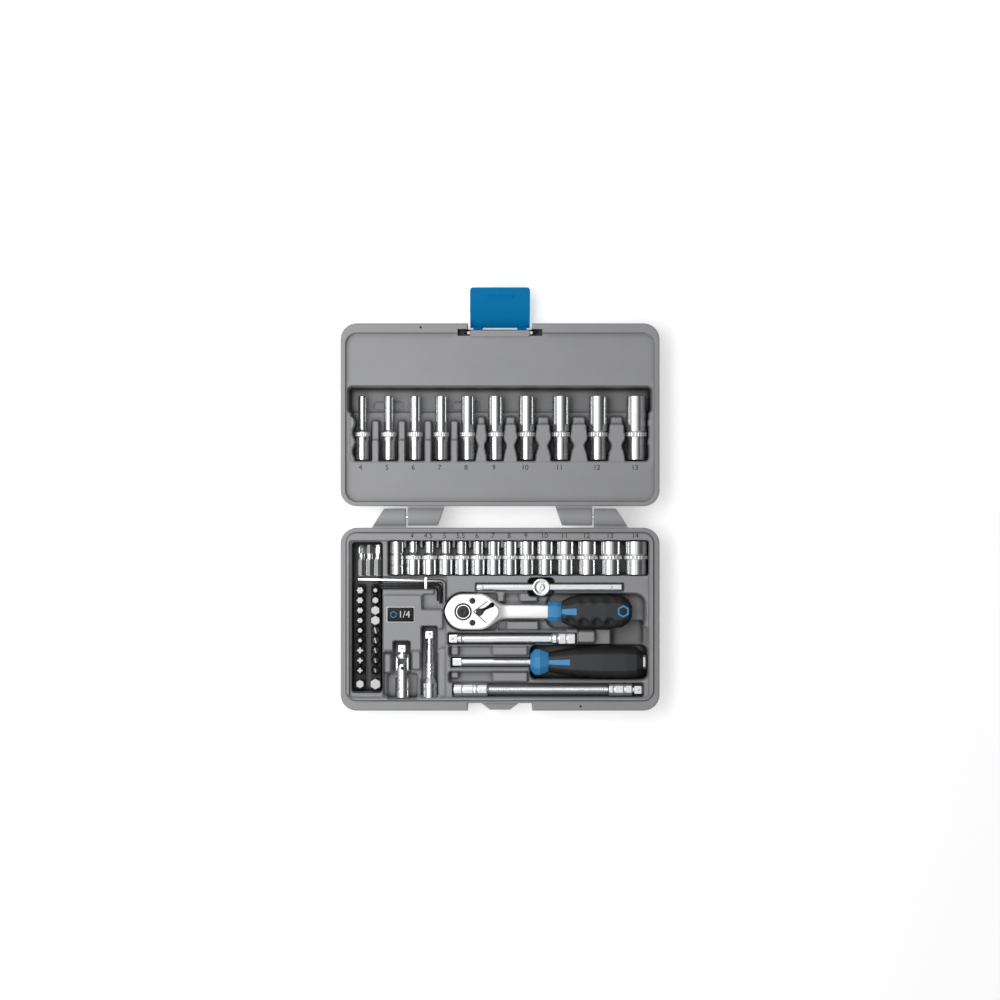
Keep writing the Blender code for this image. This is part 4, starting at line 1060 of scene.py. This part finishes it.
class Grip:
    """A handle along X. Its section is a superellipse: |cos|^p and |sin|^p of the angle, with flattened
    top."""

    def __init__(self, centre, widths, heights, dents=(), power=0.86, flat=0.93):
        self.centre, self.widths, self.heights = np.array(centre, float), widths, heights
        self.dents, self.power, self.flat = dents, power, flat

    def at(self, x, angle, lift=0.0):
        half_y = along_profile(x, self.widths) / 2 + lift
        half_z = along_profile(x, self.heights) / 2 + lift
        c, s = np.cos(angle), np.sin(angle)
        y = half_y * np.sign(c) * np.abs(c) ** self.power
        z = half_z * np.minimum(np.sign(s) * np.abs(s) ** self.power, self.flat)
        for place, dent_angle, size, depth in self.dents:
            turn = (angle - dent_angle + math.pi) % (2 * math.pi) - math.pi
            reach = np.hypot(x - place, turn * half_y * 0.85) / size
            shrink = 1 - depth / half_y * np.exp(-reach**4)
            y, z = y * shrink, z * shrink
        return np.stack([x + 0 * y, y, z], -1) + self.centre

    def form(self, low, high, count=90, around=72):
        x = low + (high - low) * (1 - np.cos(np.linspace(0, math.pi, count))) / 2
        angle = np.arange(around) * 2 * math.pi / around
        return skin(self.at(*np.meshgrid(x, angle, indexing="ij")))

    def shade(self, count=90, around=72):
        """Painted shade: round the top panel, which faces the light, the sides are darkened, and the deep
        dents too.
        """
        angle = np.arange(around) * 2 * math.pi / around
        painted_side_shade = np.tile(0.9 * smooth((np.abs(angle - UP) - 0.42) / 0.12), (count, 1))
        first, last = self.widths[0][0], self.widths[-1][0]
        x = first + (last - first) * (1 - np.cos(np.linspace(0, math.pi, count))) / 2
        # the deep dents get painted shade as well
        for place, dent_angle, size, depth in self.dents:
            reach = np.hypot(x[:, None] - place, (angle - dent_angle)[None] * 11.0) / size
            painted_side_shade = np.maximum(painted_side_shade, 0.9 * (depth > 1.5) * np.exp(-reach**4))
        return painted_side_shade.ravel()

    def patch(self, low, high, from_angle, to_angle, lift, count=14):
        """A closed pad on the surface: its top is lifted, its underside lies inside the grip."""
        x = np.linspace(low, high, count)
        angle = np.linspace(from_angle, to_angle, 9)
        upper = self.at(*np.meshgrid(x, angle, indexing="ij"), lift)
        lower = self.at(*np.meshgrid(x, angle, indexing="ij"), -0.8)
        return skin(np.concatenate([upper, lower[:, ::-1]], 1))

# %% The ratchet's handle
# the angle runs from the +Y side, over the top and down to the −Y side
grip_dents = ([(x, UP - 0.6, 3.3, 1.0) for x in (54.9, 65.4, 75.5, 85.7)]
              + [(x, UP + 0.6, 3.3, 2.4) for x in (55.6, 65.7, 76.2, 86.3)])
grip_widths = [(48.5, 17.0), (55.1, 23.0), (63.1, 26.6), (83.1, 27.4), (95.1, 25.0), (100.6, 19.0),
               (103.5, 9.0)]
grip_depths = [(48.5, 14.4), (55.1, 16.4), (63.1, 17.4), (83.1, 17.6), (95.1, 16.6), (100.6, 13.0),
               (103.5, 6.0)]
ratchet_grip = Grip(RATCHET, grip_widths, grip_depths, grip_dents)
ratchet_grip.centre = np.array([0.0, RATCHET[1], RATCHET[2]])
# the handle's sides and deep dents carry painted shade
piece("ratchet_handle", ratchet_grip.form(48.5, 103.45), "ratchet", GRIP, ["ratchet_grip"],
      sharp=50, shade=ratchet_grip.shade())
collar_rings = []
for x, y, z in ((37.3, 6.4, 5.9), (37.6, 7.3, 6.6), (44.6, 7.6, 7.0), (47.4, 6.4, 6.3), (48.1, 6.0, 6.0)):
    corner = 0.58
    octagon = np.array([[1, corner - 0.2], [corner, 1], [-corner, 1], [-1, corner - 0.2], [-1, 0.2 - corner],
                        [-corner, -1], [corner, -1], [1, 0.2 - corner]]) * (y, z)
    collar_rings.append(np.column_stack([np.full(8, x), octagon + (RATCHET[1], RATCHET[2])]))
inlay = ratchet_grip.patch(48.4, 60.0, UP - 0.16, UP + 0.16, 0.22)
piece("ratchet_blue_collar", join([skin(collar_rings), inlay]), "ratchet", BLUE,
      ["ratchet_collar"], sharp=20)

# %% The hexagon mark on a grip
def hexagon_ring(centre, outer, inner, low, high):
    """A hexagon plate with a hexagon hole: the section runs up the outside, over, down the hole and back."""
    stations = [(low, outer, HEXAGON), (high - 0.3, outer, HEXAGON), (high, outer - 0.35, HEXAGON),
                (high, inner + 0.35, HEXAGON), (high - 0.3, inner, HEXAGON), (low, inner, HEXAGON)]
    rings = [np.column_stack([centre[0] + r * s * np.cos(TURN), centre[1] + r * s * np.sin(TURN),
                              np.full(AROUND, z)]) for z, r, s in stations]
    return skin(np.array(rings), loop=True)


piece("ratchet_hexagon_mark", hexagon_ring((96.6, 6.2), 4.4, 2.9, 26.2, 29.2), "ratchet", BLUE)

# %% Spinner handle
spinner_at = np.array([0.0, -33.9, 16.0])
blade = ([(-37.9, 2.5, SQUARE), (-37.1, 3.07, SQUARE), (-30.4, 3.07, SQUARE), (-29.8, 2.9, SQUARE)]
         + eased([(-29.5, 3.2, ROUND), (59.9, 3.2, ROUND)], 0.3))
piece("spinner_blade", turned("X", spinner_at, blade), "spinner", CHROME_X, ["spinner_shaft"])
collar = [(23.7, 5.6, OCTAGON), (24.1, 6.6, OCTAGON), (27.2, 10.0, OCTAGON), (31.4, 10.1, OCTAGON),
          (32.2, 9.7, OCTAGON), (37.6, 7.5, OCTAGON), (38.2, 7.0, OCTAGON)]
spinner_widths = [(38.4, 15.6), (46.0, 19.0), (60.0, 23.4), (80.0, 26.4), (98.0, 26.4), (107.0, 24.4),
                  (112.4, 15.0)]
spinner_depths = [(38.4, 14.8), (46.0, 18.2), (60.0, 22.8), (80.0, 25.8), (98.0, 25.8), (107.0, 23.8),
                  (112.4, 14.0)]
spinner_dents = [(x, UP + 1.35, 3.4, 1.0) for x in (58.0, 68.0, 78.0, 88.0)]
spinner_grip = Grip(spinner_at, spinner_widths, spinner_depths, spinner_dents, power=0.9, flat=0.9)
bar_inlay = spinner_grip.patch(38.0, 54.8, UP - 0.17, UP + 0.17, 0.22)
# the handle's sides carry painted shade
piece("spinner_handle", spinner_grip.form(38.4, 112.4), "spinner", GRIP, ["spinner_grip"],
      sharp=50, shade=spinner_grip.shade())
piece("spinner_blue_collar", join([turned("X", spinner_at, collar), bar_inlay]), "spinner", BLUE,
      ["spinner_collar"], sharp=20)
end = eased([(100.0, 6.0, ROUND), (114.0, 6.0, ROUND), (114.8, 5.4, ROUND), (114.8, 3.8, ROUND)], 0.4) + [
    (114.8, 3.6, SQUARE), (114.3, SQUARE_HALF, SQUARE), (104.0, SQUARE_HALF, SQUARE)]
piece("spinner_end", turned("X", spinner_at, end), "spinner", CHROME_X,
      ["spinner_end_socket"])

# %% [markdown]
# ## Extensions
# Each extension has a drive square with a detent ball at one end and a square socket at the other. The
# flexible one is a close coil of wire, and the coil is a surface too: its radius swells once a turn, along a
# helix.

# %% Shared ends
def drive_tip(tip, shoulder):
    """Stations of a drive square from its chamfered tip to the shoulder, with the turned groove before it."""
    way = 1 if shoulder > tip else -1
    return [(tip, 2.5, SQUARE), (tip + way * 0.5, 2.95, SQUARE), (tip + way * 1.0, 3.15, SQUARE),
            (shoulder - way * 1.2, 3.15, SQUARE), (shoulder - way * 0.8, 2.75, ROUND),
            (shoulder, 2.75, ROUND)]


def drive_socket(neck, mouth, width, depth=10.0):
    """Stations of a female end: its outside with two turned rings, then the chamfered square bore."""
    way = 1 if mouth > neck else -1
    r = width / 2
    outside = eased([(neck, r - 1.0, ROUND), (neck + way * 0.8, r, ROUND), (mouth - way * 7.4, r, ROUND),
                     (mouth - way * 7.1, r - 0.3, ROUND), (mouth - way * 6.5, r - 0.3, ROUND),
                     (mouth - way * 6.2, r, ROUND), (mouth, r, ROUND), (mouth, 4.3, ROUND)], 0.6)
    return outside + [(mouth, 3.65, SQUARE), (mouth - way * 0.5, SQUARE_HALF, SQUARE),
                      (mouth - way * depth, SQUARE_HALF, SQUARE)]


def ball(axis_point, radius=0.95):
    """A detent ball's cap, standing upright out of a face."""
    angle = np.radians(np.array([-30, 0, 25, 50, 75]))
    stations = [(radius * math.sin(a), max(radius * math.cos(a), 0.1), ROUND) for a in angle]
    return turned("Z", axis_point, stations)

# %% The two stiff extensions
long_at = (0, -15.4, 20.0)
long_bar = drive_tip(-40.3, -32.5) + eased([(-32.4, 3.5, ROUND), (-30.2, 3.5, ROUND), (-29.8, 3.1, ROUND),
                                            (-29.0, 3.1, ROUND), (-28.6, 3.4, ROUND), (39.5, 3.4, ROUND),
                                            (41.5, 4.6, ROUND), (43.6, 4.6, ROUND), (44.2, 5.0, ROUND)],
                                           0.5) + drive_socket(45.2, 59.0, 11.2)
piece("extension_100_bar", join([turned("X", long_at, long_bar), ball((-37.4, -15.4, 23.0))]),
      "extension_100", CHROME_X, ["extension_100"])
short_at = (-55.2, 0, 19.0)
neck = eased([(-16.8, 3.25, ROUND), (-19.4, 3.25, ROUND), (-20.0, 2.7, ROUND), (-21.4, 2.7, ROUND),
              (-22.2, 3.2, ROUND), (-34.0, 3.2, ROUND)], 0.5)
knurl_y = np.linspace(-34.4, -43.0, 18)
knurled = [(y, 3.72, 1 + 0.035 * np.cos(12 * TURN + 2.1 * i) * math.cos(math.pi * i))
           for i, y in enumerate(knurl_y)]
taper = eased([(-43.3, 3.4, ROUND), (-45.6, 3.6, ROUND), (-48.8, 5.2, ROUND)], 0.5)
short_bar = drive_tip(-9.0, -16.2) + neck + knurled + taper + drive_socket(-49.4, -61.9, 11.8)
piece("extension_50_bar", join([turned("Y", short_at, short_bar), ball((-55.2, -11.8, 22.0))]),
      "extension_50", CHROME, ["extension_50"])

# %% The flexible extension
flex_at = (0, -55.5, 20.0)
COIL_PITCH, COIL_R, WIRE_DEPTH = 1.35, 3.25, 0.55
coil_x = np.arange(-9.2, 84.6, COIL_PITCH / 6)
coil_angle = np.arange(28) * 2 * math.pi / 28
cx, ca = np.meshgrid(coil_x, coil_angle, indexing="ij")
coil_r = COIL_R + WIRE_DEPTH * np.abs(np.sin(math.pi * (cx / COIL_PITCH - ca / (2 * math.pi))))
coil = np.stack([cx, coil_r * np.cos(ca), coil_r * np.sin(ca)], -1) + flex_at
piece("flex_coil", skin(coil), "flex_extension", CHROME_X, ["flex_shaft"], sharp=60)
flex_end = eased([(-9.5, 3.9, ROUND), (-9.6, 4.9, ROUND), (-10.4, 5.6, ROUND), (-17.4, 5.6, ROUND),
                  (-17.7, 5.25, ROUND), (-18.5, 5.25, ROUND), (-18.8, 5.7, ROUND), (-20.0, 5.7, ROUND)],
                 0.4) + drive_socket(-20.2, -36.3, 11.4)[2:]
piece("flex_socket_end", turned("X", flex_at, flex_end), "flex_extension", CHROME_X,
      ["flex_female"])
ferrule = drive_tip(111.7, 104.2) + eased([(104.1, 4.0, ROUND), (103.4, 5.0, ROUND), (98.4, 5.1, ROUND),
                                           (98.0, 4.7, ROUND), (97.2, 4.7, ROUND), (96.8, 5.1, ROUND),
                                           (90.0, 5.1, ROUND), (89.6, 4.8, ROUND), (89.0, 4.8, ROUND),
                                           (88.6, 5.1, ROUND), (85.4, 5.0, ROUND), (85.0, 4.0, ROUND)], 0.4)
piece("flex_drive_end", join([turned("X", flex_at, ferrule), ball((108.6, -55.5, 23.0))]), "flex_extension",
      CHROME_X, ["flex_male"])

# %% [markdown]
# ## Universal joint
# A fork with a drive square, a cross with four trunnions, and a body with a socket: the fork's ears stand
# left and right of the cross, the body's ears above and below it.

# %% Fork, cross and body
JOINT = np.array([-76.7, -38.5, 19.0])


def ear(axis, side, root):
    """An ear with a round end, curved like the barrel it belongs to. It is a stack of sections along Y."""
    y = np.concatenate([-3.0 * np.cos(np.linspace(0.08, math.pi / 2, 9)), np.linspace(1.0, root, 5)])
    round_end = 3.1 * np.sqrt(np.clip(1 - (y / 3.0) ** 2, 0, 1))
    half = np.where(y < 0, round_end, 3.1 + 0.3 * np.clip(y, 0, None) / root)
    rings = []
    for y_at, w in zip(y, half):
        across = np.linspace(-w, w, 11)
        crown = np.column_stack([across, np.sqrt(5.72**2 - across**2)])
        section = np.vstack([crown, [[w, 3.7], [-w, 3.7]]]) * (1, side)
        along = np.full((len(section), 1), y_at)
        across, out = section[:, :1], section[:, 1:]
        rings.append(np.hstack((out, along, across) if axis == "X" else (across, along, out)))
    return skin(rings)


fork = drive_tip(18.5, 11.6) + eased([(11.4, 4.2, ROUND), (11.0, 5.6, ROUND), (8.4, 5.7, ROUND),
                                      (7.4, 5.0, ROUND)], 0.5)
ears = [ear("X", side, 9.0) for side in (-1, 1)]


def trunnions(axis, inner):
    """Two short round pins, one on each side of the cross."""
    return [turned(axis, (0, 0, 0), eased([(side * inner, 1.45, ROUND), (side * 5.75, 1.45, ROUND),
                                           (side * 5.95, 0.8, ROUND)], 0.3)) for side in (-1, 1)]


fork_form = join([turned("Y", (0, 0, 0), fork), ball((0, 15.4, 3.0))] + ears)
piece("uj_fork_body", moved(fork_form, JOINT), "universal_joint", CHROME, ["uj_fork"])
block = rounded_box((-3.0, -2.6, -3.0), (3.0, 2.6, 3.0), 0.9, 0.6)
piece("uj_cross_block", moved(join([block] + trunnions("X", 3.0) + trunnions("Z", 2.8)), JOINT), "uj_cross",
      OXIDE, ["uj_cross"])
body_ears = [spun(ear("Z", side, 9.0), "Z", 180, (0, 0, 0)) for side in (-1, 1)]
body = eased([(-7.3, 4.6, ROUND), (-8.0, 5.6, ROUND), (-9.4, 5.75, ROUND)],
             0.4) + drive_socket(-9.4, -23.4, 11.5)[2:]
piece("uj_socket_body", moved(join([turned("Y", (0, 0, 0), body)] + body_ears), JOINT), "uj_body", CHROME,
      ["uj_body"])

# %% [markdown]
# ## Latch, pins and badge
# The latch is one blue moulding: a flap on two arms with a pin moulded across them, and a rib that hooks
# under the catch. It is drawn closed, with the flap upright, and then turned back to where it rests.

# %% Latch
LATCH_AT = np.array([0.0, 225.5, 18.0])
right_edge = [(13.3, 0.1), (14.2, -2.3), (20.0, -2.3), (21.2, 0.0), (23.3, 0.1), (23.5, 16.0), (23.5, 32.6),
              (22.9, 34.3), (21.4, 35.0)]
flap_outline = np.array([(-x, z) for x, z in right_edge[::-1]] + right_edge)
flap = plate(flap_outline, 6.15, 8.3, 0.55)
upright = outward((flap[0][:, [0, 2, 1]], flap[1]))
thumb_ridges = [rounded_box((-15.0, 7.9, z), (15.0, 8.3, z + 0.9), 0.15, 0.12)
                for z in (24.0, 26.6, 29.2, 31.8)]
arms = [rounded_box((x - 3.5, -1.8, -1.8), (x + 3.5, 7.0, 2.5), 0.8, 0.5) for x in (-17.5, 17.5)]
pin = turned("X", (0, 0, 0), eased([(-28.5, 1.0, ROUND), (-28.5, 1.7, ROUND), (28.5, 1.7, ROUND),
                                    (28.5, 1.0, ROUND)], 0.4))
rib = skin([np.array([[x, 7.1, 25.7], [x, 7.1, 29.3], [x, 5.2, 28.4], [x, 5.2, 26.9]])
            for x in np.linspace(-10, 10, 3)])
latch_form = moved(spun(join([upright, rib] + arms + thumb_ridges), "X", -61, (0, 0, 0)), LATCH_AT)
piece("latch_flap", latch_form, "latch", LATCH, ["latch"])
piece("latch_pin", moved(pin, LATCH_AT), "latch", OXIDE)

# %% Badge with a plain frame and a drive-size figure
badge_low, badge_high = (-88.7, -2.4), (-66.9, 9.8)
rim = rounded_box((badge_low[0] - 0.1, badge_low[1] - 0.1, 27.6),
                  (badge_high[0] + 0.1, badge_high[1] + 0.1, 28.15), 0.9, 0.2)
piece("badge_rim", rim, "base", WHITE_INK)
badge_low, badge_high = (-88.2, -1.9), (-67.4, 9.3)
piece("badge_plate", rounded_box((*badge_low, 27.62), (*badge_high, 28.4), 0.8, 0.2), "base", BADGE_FILM_AND_HOLE_SHADE,
      ["badge"])
piece("badge_figure", lettering("1/4", 5.2, (-75.0, 3.7), 28.46, 0.2), "base", WHITE_INK)
piece("badge_hexagon", hexagon_ring((-83.4, 3.7), 2.6, 1.6, 28.2, 28.5), "base", BLUE)

# %% Model nodes that stay: hinge pins and the pawl inside the ratchet head
for node, surface in (("hinge_pin_left", CHROME_X), ("hinge_pin_right", CHROME_X), ("ratchet_pawl", OXIDE)):
    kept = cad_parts[node]
    kept.data.materials.clear()
    kept.data.materials.append(surface)

# %% [markdown]
# ## The studio
# A white floor and three long softboxes, the strongest on the left, leave the space right above the set dim.
# Plated steel shows what it mirrors: flat faces turn grey under that dim space, and round bars carry bright
# lines.

# %% Floor, lights and world
FLOOR_SIZE = 6.0
floor_mesh = bpy.data.meshes.new("studio_floor")
half_floor = FLOOR_SIZE / 2
floor_mesh.from_pydata([(-half_floor, -half_floor, 0), (half_floor, -half_floor, 0),
                        (half_floor, half_floor, 0), (-half_floor, half_floor, 0)], [], [(0, 1, 2, 3)])
floor_mesh.materials.append(finish("studio_white", lambda wire: {
    "Base Color": wire.noise(3.0).blend((0.93, 0.93, 0.93), (0.95, 0.95, 0.95))}, Roughness=0.9,
    Emission_Color=(1, 1, 1, 1), Emission_Strength=0.4))
floor = bpy.data.objects.new("studio_floor", floor_mesh)
floor.location.z = -0.0002
bpy.context.scene.collection.objects.link(floor)

# %% Softboxes
def softbox(name, at, toward, size, power, tint=(1.0, 1.0, 1.0)):
    """A rectangular area light that faces a point."""
    light = bpy.data.lights.new(name, "AREA")
    light.shape = "RECTANGLE"
    light.size, light.size_y = size
    light.energy = power
    light.color = tint
    lamp = bpy.data.objects.new(name, light)
    lamp.location = at
    direction = np.array(toward) - np.array(at)
    azimuth = math.atan2(direction[0], -direction[1])
    tilt = math.atan2(math.hypot(direction[0], direction[1]), -direction[2])
    lamp.rotation_euler = (tilt, 0, azimuth)
    bpy.context.scene.collection.objects.link(lamp)


softbox("left_strip", (-1.0, 0.3, 1.35), (0, 0.08, 0), (0.7, 2.4), 17.0)
softbox("right_strip", (1.15, 0.1, 0.95), (0, 0.08, 0), (0.16, 1.8), 2.0)
softbox("near_strip", (0.0, -1.25, 1.0), (0, 0.08, 0), (2.0, 0.25), 2.5)
softbox("far_strip", (-0.1, 1.5, 1.25), (0, 0.08, 0), (2.2, 0.6), 10.0)

world = bpy.data.worlds.new("studio")
bpy.context.scene.world = world
world.use_nodes = True
sky = Wire(world.node_tree)
direction = sky.node("TexCoord", output="Generated")
sideways = sky.node("SeparateXYZ", inputs={"Vector": direction})
level = sky.node("ValToRGB", {"stops": [(0.0, 0.4), (0.3, 0.75), (0.55, 0.88), (0.68, 0.3), (0.8, 0.1),
                                        (1.0, 0.05)]}, {"Fac": 0.5 + 0.5 * sideways})
world.node_tree.links.new(level.socket, world.node_tree.nodes["Background"].inputs["Color"])

# %% Camera
WIDTH_SEEN = 0.783
DISTANCE = 3.0
SENSOR = 36.0
CAMERA_Y = 0.0934
camera_data = bpy.data.cameras.new("camera")
camera_data.sensor_width = SENSOR
camera_data.lens = SENSOR * DISTANCE / WIDTH_SEEN
camera = bpy.data.objects.new("camera", camera_data)
camera.location = (0, CAMERA_Y, DISTANCE + 0.027)
bpy.context.scene.collection.objects.link(camera)
bpy.context.scene.camera = camera
bpy.context.scene.view_settings.view_transform = "Standard"

# %% Sizes, and finish
print("pieces:", len(made_pieces), "triangles:", sum(count for name, count in made_pieces))
